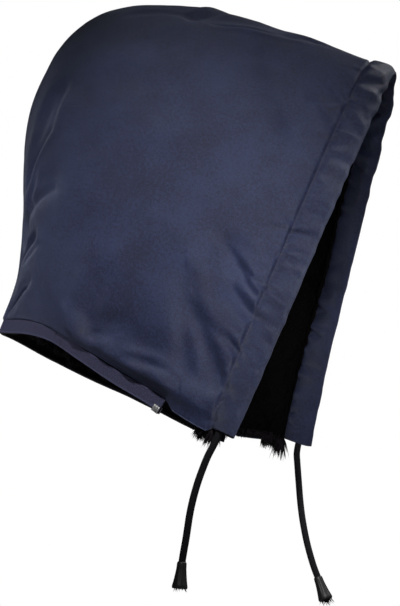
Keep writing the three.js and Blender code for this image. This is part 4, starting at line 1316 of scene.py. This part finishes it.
class Paint:
    """A material that is built up node by node."""

    def __init__(self, name):
        self.material = bpy.data.materials.new(name)
        self.material.use_nodes = True
        self.tree = self.material.node_tree
        self.shader = self.tree.nodes["Principled BSDF"]

    def node(self, kind, settings=None, inputs=None):
        """Adds a node, and sets its settings first and then its inputs."""
        node = self.tree.nodes.new(kind)
        for name, value in (settings or {}).items():
            setattr(node, name, value)
        for name, value in (inputs or {}).items():
            self.feed(node.inputs[name], value)
        return node

    def add(self, kind, output, settings=None, inputs=None):
        """Adds a node and gives one of its outputs, by name or number."""
        return Wire(self, self.node(kind, settings, inputs).outputs[output])

    def feed(self, socket, value):
        """Links a wire into a socket, or sets the socket to a plain value."""
        if isinstance(value, Wire):
            self.tree.links.new(value.socket, socket)
        elif hasattr(value, "__len__") and len(value) == 3 and socket.type == "RGBA":
            socket.default_value = (*value, 1.0)
        else:
            socket.default_value = value

    def set(self, **values):
        """Sets or links the shader's own sockets, named with _ for a space."""
        for name, value in values.items():
            self.feed(self.shader.inputs[name.replace("_", " ")], value)

    def tones(self, share, low, high, rough, spread, by, **values):
        """A colour from low to high by a share, a roughness of rough plus spread times a wire,
        and other sockets of the shader."""
        self.set(Base_Color=self.mix(share, low, high), Roughness=rough + by * spread, **values)
        return self.material

    def math(self, operation, *values):
        return self.add("ShaderNodeMath", 0, {"operation": operation}, dict(enumerate(values)))

    def waves(self, value, length):
        """A sine of the value that repeats at every length."""
        return self.math("SINE", value * (2 * math.pi / length))

    def place(self):
        """Coordinates of the piece itself, in metres."""
        return self.add("ShaderNodeTexCoord", "Object")

    def cloth(self):
        """Lengths on the cloth in mm, across and along, from the piece's UV map."""
        return self.add("ShaderNodeUVMap", "UV", {"uv_map": "cloth"})

    def split(self, vector):
        """The three parts of a vector."""
        parts = self.node("ShaderNodeSeparateXYZ", inputs={"Vector": vector}).outputs
        return [Wire(self, part) for part in parts]

    def noise(self, vector, scale, detail=2.0, roughness=0.5):
        """Noise from 0 to 1 with features of about one over the scale."""
        return self.add("ShaderNodeTexNoise", "Fac", inputs={
            "Vector": vector, "Scale": scale, "Detail": detail, "Roughness": roughness})

    def rise(self, value, start, end):
        """0 up to the start, 1 from the end on, and 3t^2 - 2t^3 between them."""
        return self.add("ShaderNodeMapRange", "Result", {"interpolation_type": "SMOOTHSTEP"}, {
            "Value": value, "From Min": start, "From Max": end})

    def stretch(self, vector, scale, turn=0.0):
        """Coordinates turned and then scaled along their axes."""
        return self.add("ShaderNodeMapping", "Vector", inputs={
            "Vector": vector, "Scale": scale, "Rotation": (0, 0, turn)})

    def mix(self, share, first, second):
        """A colour between two colours. The node's colour sockets have numbers 6, 7 and 2."""
        return self.add("ShaderNodeMix", 2, {"data_type": "RGBA"}, {0: share, 6: first, 7: second})

    def bump(self, height, distance, strength):
        """Directions tilted by a height, in metres where it is one."""
        return self.add("ShaderNodeBump", "Normal", inputs={
            "Height": height, "Distance": distance, "Strength": strength})

# %% [markdown]
# ## The twill
# The shell is a tight twill of a dull satin. Its ribs run slantwise at about 0.7 mm, single yarns are a
# little lighter or darker than their neighbours, and broad patches vary in tone at random. The same
# function paints the casing as a darker copy of the same twill, which is painted shade. The thread is a
# little lighter than both.

# %% Twill for the shell and the casing
TWILL_RIB = 0.7
YARN_TURN = math.radians(38)


def twill(name, low, high):
    """Colour between a low and a high navy by yarn noise and slow patches. The bump is a sine
    across the ribs, made uneven by the yarns."""
    paint = Paint(name)
    cloth = paint.cloth()
    across, along, _ = paint.split(cloth)
    rib = paint.waves(across + along, TWILL_RIB)
    yarns = paint.noise(paint.stretch(cloth, (0.35, 2.6, 1.0), YARN_TURN), 1.0, 3.0, 0.6)
    grain = paint.noise(cloth, 0.42, 4.0, 0.75)
    patches = paint.noise(paint.place(), 26.0, 3.0, 0.6)
    speckle = paint.noise(cloth, 1.1, 2.0, 0.7)
    share = (yarns - 0.5) + (grain - 0.5) * 3.2 + (speckle - 0.5) * 3.0 + (patches - 0.5) * 1.5 + 0.5
    paint.set(Sheen_Weight=0.12, Sheen_Roughness=0.4, Sheen_Tint=(0.6, 0.68, 0.9))
    bump = paint.bump(rib * 0.35 + yarns * 0.9 + grain * 1.2, 0.0003, 0.9)
    return paint.tones(share, low, high, 0.44, 0.16, grain, Specular_IOR_Level=0.42, Normal=bump)


def thread_finish(name):
    """Polyester thread a little lighter and more violet than the cloth, with a soft gloss."""
    paint = Paint(name)
    twist = paint.noise(paint.place(), 900.0)
    return paint.tones(twist, (0.012, 0.0115, 0.028), (0.05, 0.047, 0.085), 0.4, 0.2, twist)


shell_twill = twill("navy_twill", (0.0072, 0.0088, 0.029), (0.0225, 0.0305, 0.083))
# The casing is the shell's own twill folded back; its darker copy is painted shade.
casing_twill_painted_shade = twill("navy_twill_casing_painted_shade", (0.0068, 0.0083, 0.027), (0.0215, 0.0285, 0.075))
seam_thread = thread_finish("seam_thread")

# %% [markdown]
# ## Pile, tape, coil, metal, cord and moulding
# The pile swallows nearly all light. Its wall is painted darkest as shade deep in the pile, its tufts
# paler and its fringe palest as painted highlight. The tape has a fine rib across it, a lower edge
# painted paler as a highlight, and an inner face painted black as shade. Coil and cord ends are moulded
# plastic with a soft gloss, the stop is bright pressed metal, and the cord is matt yarn.

# %% The other finishes
TAPE_FACE_END = 12.5


def pile_finish(name, low, high):
    """Black with a brown cast, a little paler by noise at the size of a tuft."""
    paint = Paint(name)
    shade = paint.noise(paint.place(), 260.0, 3.0, 0.6)
    bump = paint.bump(paint.noise(paint.place(), 900.0), 0.0006, 0.6)
    return paint.tones(shade, low, high, 0.75, 0.2, shade, Specular_IOR_Level=0.04, Normal=bump)


def tape_finish(name):
    """A rib across the tape every 0.9 mm and rows along it, in dull navy. The lower rim is painted
    paler, as a painted highlight on its rounded edge.
    Past it, at TAPE_FACE_END mm round the section, the inner face is painted black as painted shade."""
    paint = Paint(name)
    run, height, _ = paint.split(paint.cloth())
    rib, rows = paint.waves(run, 0.9), paint.waves(height, 0.8)
    fuzz = paint.noise(paint.cloth(), 0.8, 3.0, 0.6)
    # The paler lower rim is a painted highlight.
    rim = paint.rise(height, TAPE_FACE_END - 2.6, TAPE_FACE_END - 2.0)
    inside = paint.rise(height, TAPE_FACE_END, TAPE_FACE_END + 1)
    share = rib * 0.16 + rows * 0.1 + (fuzz - 0.5) * 2.4 + 0.45 + rim * 0.45
    front = paint.mix(share, (0.018, 0.0185, 0.04), (0.064, 0.064, 0.12))
    bump = paint.bump(rib * 0.5 + rows * 0.5 + fuzz, 0.00025, 0.9)
    # The black of the inner face is painted shade.
    black = (0.002, 0.002, 0.0025)
    return paint.tones(inside, front, black, 0.7, 0.2, fuzz, Specular_IOR_Level=0.18, Normal=bump)


def coil_finish(name):
    """Dark blue-black thread with a soft gloss and fine noise."""
    paint = Paint(name)
    wear = paint.noise(paint.place(), 420.0)
    return paint.tones(wear, (0.004, 0.004, 0.007), (0.011, 0.011, 0.016), 0.42, 0.2, wear)


def metal_finish(name):
    """Bright metal, rubbed: roughness and a fine bump from stretched noise."""
    paint = Paint(name)
    rub = paint.noise(paint.stretch(paint.place(), (400.0, 400.0, 3000.0)), 1.0, 3.0)
    return paint.tones(rub, (0.24, 0.24, 0.25), (0.48, 0.48, 0.47), 0.42, 0.22, rub,
                       Metallic=1.0, Normal=paint.bump(rub, 0.00008, 0.6))


def cord_finish(name):
    """Matt black yarn: fine hairs along the strands in colour and bump."""
    paint = Paint(name)
    hairs = paint.noise(paint.stretch(paint.place(), (2200.0, 2200.0, 700.0)), 1.0, 3.0, 0.65)
    slubs = paint.noise(paint.place(), 240.0)
    share = hairs * 0.7 + slubs * 0.4 - 0.1
    return paint.tones(share, (0.002, 0.002, 0.003), (0.013, 0.013, 0.016), 0.78, 0.15, hairs,
                       Specular_IOR_Level=0.15, Normal=paint.bump(hairs, 0.0002, 0.8))


def moulded_finish(name):
    """Black plastic: small scratches and dull patches in roughness, with a fine moulded grain."""
    paint = Paint(name)
    grain = paint.noise(paint.place(), 1600.0)
    dull = paint.noise(paint.place(), 180.0, 3.0)
    return paint.tones(dull, (0.004, 0.004, 0.005), (0.014, 0.014, 0.016), 0.36, 0.25, dull,
                       Normal=paint.bump(grain, 0.00008, 0.5))


# The wall's copy of the pile is the darkest, as painted shade deep in the pile; the tufts' copy is
# paler, as painted highlight.
black_pile = pile_finish("black_pile", (0.0008, 0.0007, 0.0008), (0.003, 0.0026, 0.0028))
tuft_pile_painted_highlight = pile_finish("black_pile_ends_painted_highlight", (0.0012, 0.001, 0.0011), (0.0075, 0.0062, 0.0064))
# The fringe's copy of the pile is paler, as a painted highlight on the hanging tufts.
fringe_pile_painted_highlight = pile_finish("black_pile_fringe_painted_highlight", (0.002, 0.0017, 0.002), (0.024, 0.02, 0.024))
woven_tape = tape_finish("woven_navy_tape")
coil_thread = coil_finish("coil_thread")
bright_metal = metal_finish("bright_metal")
braided_yarn = cord_finish("braided_yarn")
black_moulding = moulded_finish("black_moulding")

# %% [markdown]
# ## Every piece takes its place
# Each piece rides on the part's one body, stands for the node it dresses and names its finish.

# %% Riding, replacing and finishes
DRESSED = [
    (right_shell, "shell_right", "shell_fabric", shell_twill),
    (left_shell, "shell_left", "shell_fabric", shell_twill),
    (casing, "face_hem", "hem_fabric", casing_twill_painted_shade),
    (lining, "pile_lining", "pile", black_pile),
    (right_tufts, None, "pile", tuft_pile_painted_highlight),
    (left_tufts, None, "pile", tuft_pile_painted_highlight),
    (casing_stitches, None, "hem_fabric", seam_thread),
    (fringe, None, "pile", fringe_pile_painted_highlight),
    (tape, "neck_tape", "zip_tape", woven_tape),
    (coil, "zip_coil", "zip_coil", coil_thread),
    (stop, "zip_stop", "zip_metal", bright_metal),
    (right_cord, "drawcord_right", "cord", braided_yarn),
    (left_cord, "drawcord_left", "cord", braided_yarn),
    (right_yarn, None, "cord", braided_yarn),
    (left_yarn, None, "cord", braided_yarn),
    (right_bell, "cord_end_right", "cord_end", black_moulding),
    (left_bell, "cord_end_left", "cord_end", black_moulding),
]
for piece, node, slot, material in DRESSED:
    piece.data.materials.append(material)
    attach(piece, BODY)
    if node:
        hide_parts(node)

# %% The mouths of the cords
for cord, path, route, length, end_pieces in (
    (right_cord, right_path, RIGHT_ROUTE, right_length, [right_bell, right_yarn]),
    (left_cord, left_path, LEFT_ROUTE, left_length, [left_bell, left_yarn]),
):
    mouth = [value * MM for value in route[MOUTH_POINT]]

# %% [markdown]
# ## Light and stage
# The picture stands on plain white, so the backdrop is white for the camera. All else sees a dim
# even sky, because a white one would wash the dark navy out. A soft spot lamp from above lights the
# crown and the side, a second one looks into the face opening, and a third grazes the back edge.
# Two broad lamps soften the shadows, a weak one in front and one beyond the peak. A pale floor lies
# well below, out of the picture.

# %% Lamps
def lamp(name, kind, place, aim, power, **settings):
    """A lamp at a place, turned to an aim, with the settings of its kind."""
    data = bpy.data.lights.new(name, kind)
    data.energy = power
    for setting, value in settings.items():
        setattr(data, setting, value)
    light = bpy.data.objects.new(name, data)
    light.location = place
    light.rotation_mode = "QUATERNION"
    light.rotation_quaternion = (Vector(aim) - Vector(place)).to_track_quat("-Z", "Y")
    bpy.context.scene.collection.objects.link(light)


def spot(name, place, aim, size, opening, power):
    """A round lamp with a soft edge: its light fades from the aim to the edge of its cone."""
    lamp(name, "SPOT", place, aim, power,
         shadow_soft_size=size, spot_size=math.radians(opening), spot_blend=1.0)


right_of_camera = Vector((math.sin(TURN), -math.cos(TURN), 0))
up_of_camera = right_of_camera.cross(look)
middle = AIM + Vector((0, 0, 60 * MM))


def from_camera(right, up, back):
    """A place given from the middle of the hood: right and up as the camera sees, back to it."""
    return middle + right_of_camera * right + up_of_camera * up - look * back


spot("key", from_camera(-0.1, 1.5, 1.4), from_camera(-0.005, -0.105, 0), 0.08, 13.2, 238)
spot("facing", from_camera(0.5, 0.05, 1.7), from_camera(0.17, -0.1, 0), 0.12, 12.5, 126)
spot("rim", from_camera(-1.5, -0.4, 0.7), from_camera(-0.16, -0.03, 0), 0.1, 12, 80)
lamp("fill", "AREA", from_camera(1.5, 0.75, 0.9), middle, 1.2, size=0.8)
lamp("edge", "AREA", from_camera(1.3, 1.2, -0.6), middle, 14, size=0.6)

# %% Sky and floor
FLOOR_HEIGHT = -1000 * MM
FLOOR_SIZE = 30.0
SKY_STRENGTH = 0.045

world = bpy.data.worlds.new("sky")
world.use_nodes = True
nodes = world.node_tree.nodes
links = world.node_tree.links
backdrop = nodes["Background"]
backdrop.inputs["Color"].default_value = (1, 1, 1, 1)
dim_sky = nodes.new("ShaderNodeBackground")
dim_sky.inputs["Color"].default_value = (0.95, 0.97, 1, 1)
dim_sky.inputs["Strength"].default_value = SKY_STRENGTH
seen = nodes.new("ShaderNodeLightPath")
choice = nodes.new("ShaderNodeMixShader")
links.new(seen.outputs["Is Camera Ray"], choice.inputs[0])
links.new(dim_sky.outputs[0], choice.inputs[1])
links.new(backdrop.outputs[0], choice.inputs[2])
links.new(choice.outputs[0], nodes["World Output"].inputs["Surface"])
bpy.context.scene.world = world
bpy.context.scene.view_settings.view_transform = "Standard"

corners = np.array([(-1, -1, 0), (1, -1, 0), (1, 1, 0), (-1, 1, 0)]) * FLOOR_SIZE / 2
corners[:, 2] = FLOOR_HEIGHT
floor_mesh = bpy.data.meshes.new("floor")
floor_mesh.from_pydata(corners.tolist(), [], [(0, 1, 2, 3)])
floor = bpy.data.objects.new("floor", floor_mesh)
bpy.context.scene.collection.objects.link(floor)
pale = Paint("pale_floor")
speck = pale.noise(pale.place(), 3.0)
pale.set(Base_Color=pale.mix(speck, (0.86, 0.86, 0.87), (0.9, 0.9, 0.9)), Roughness=0.8)
floor_mesh.materials.append(pale.material)
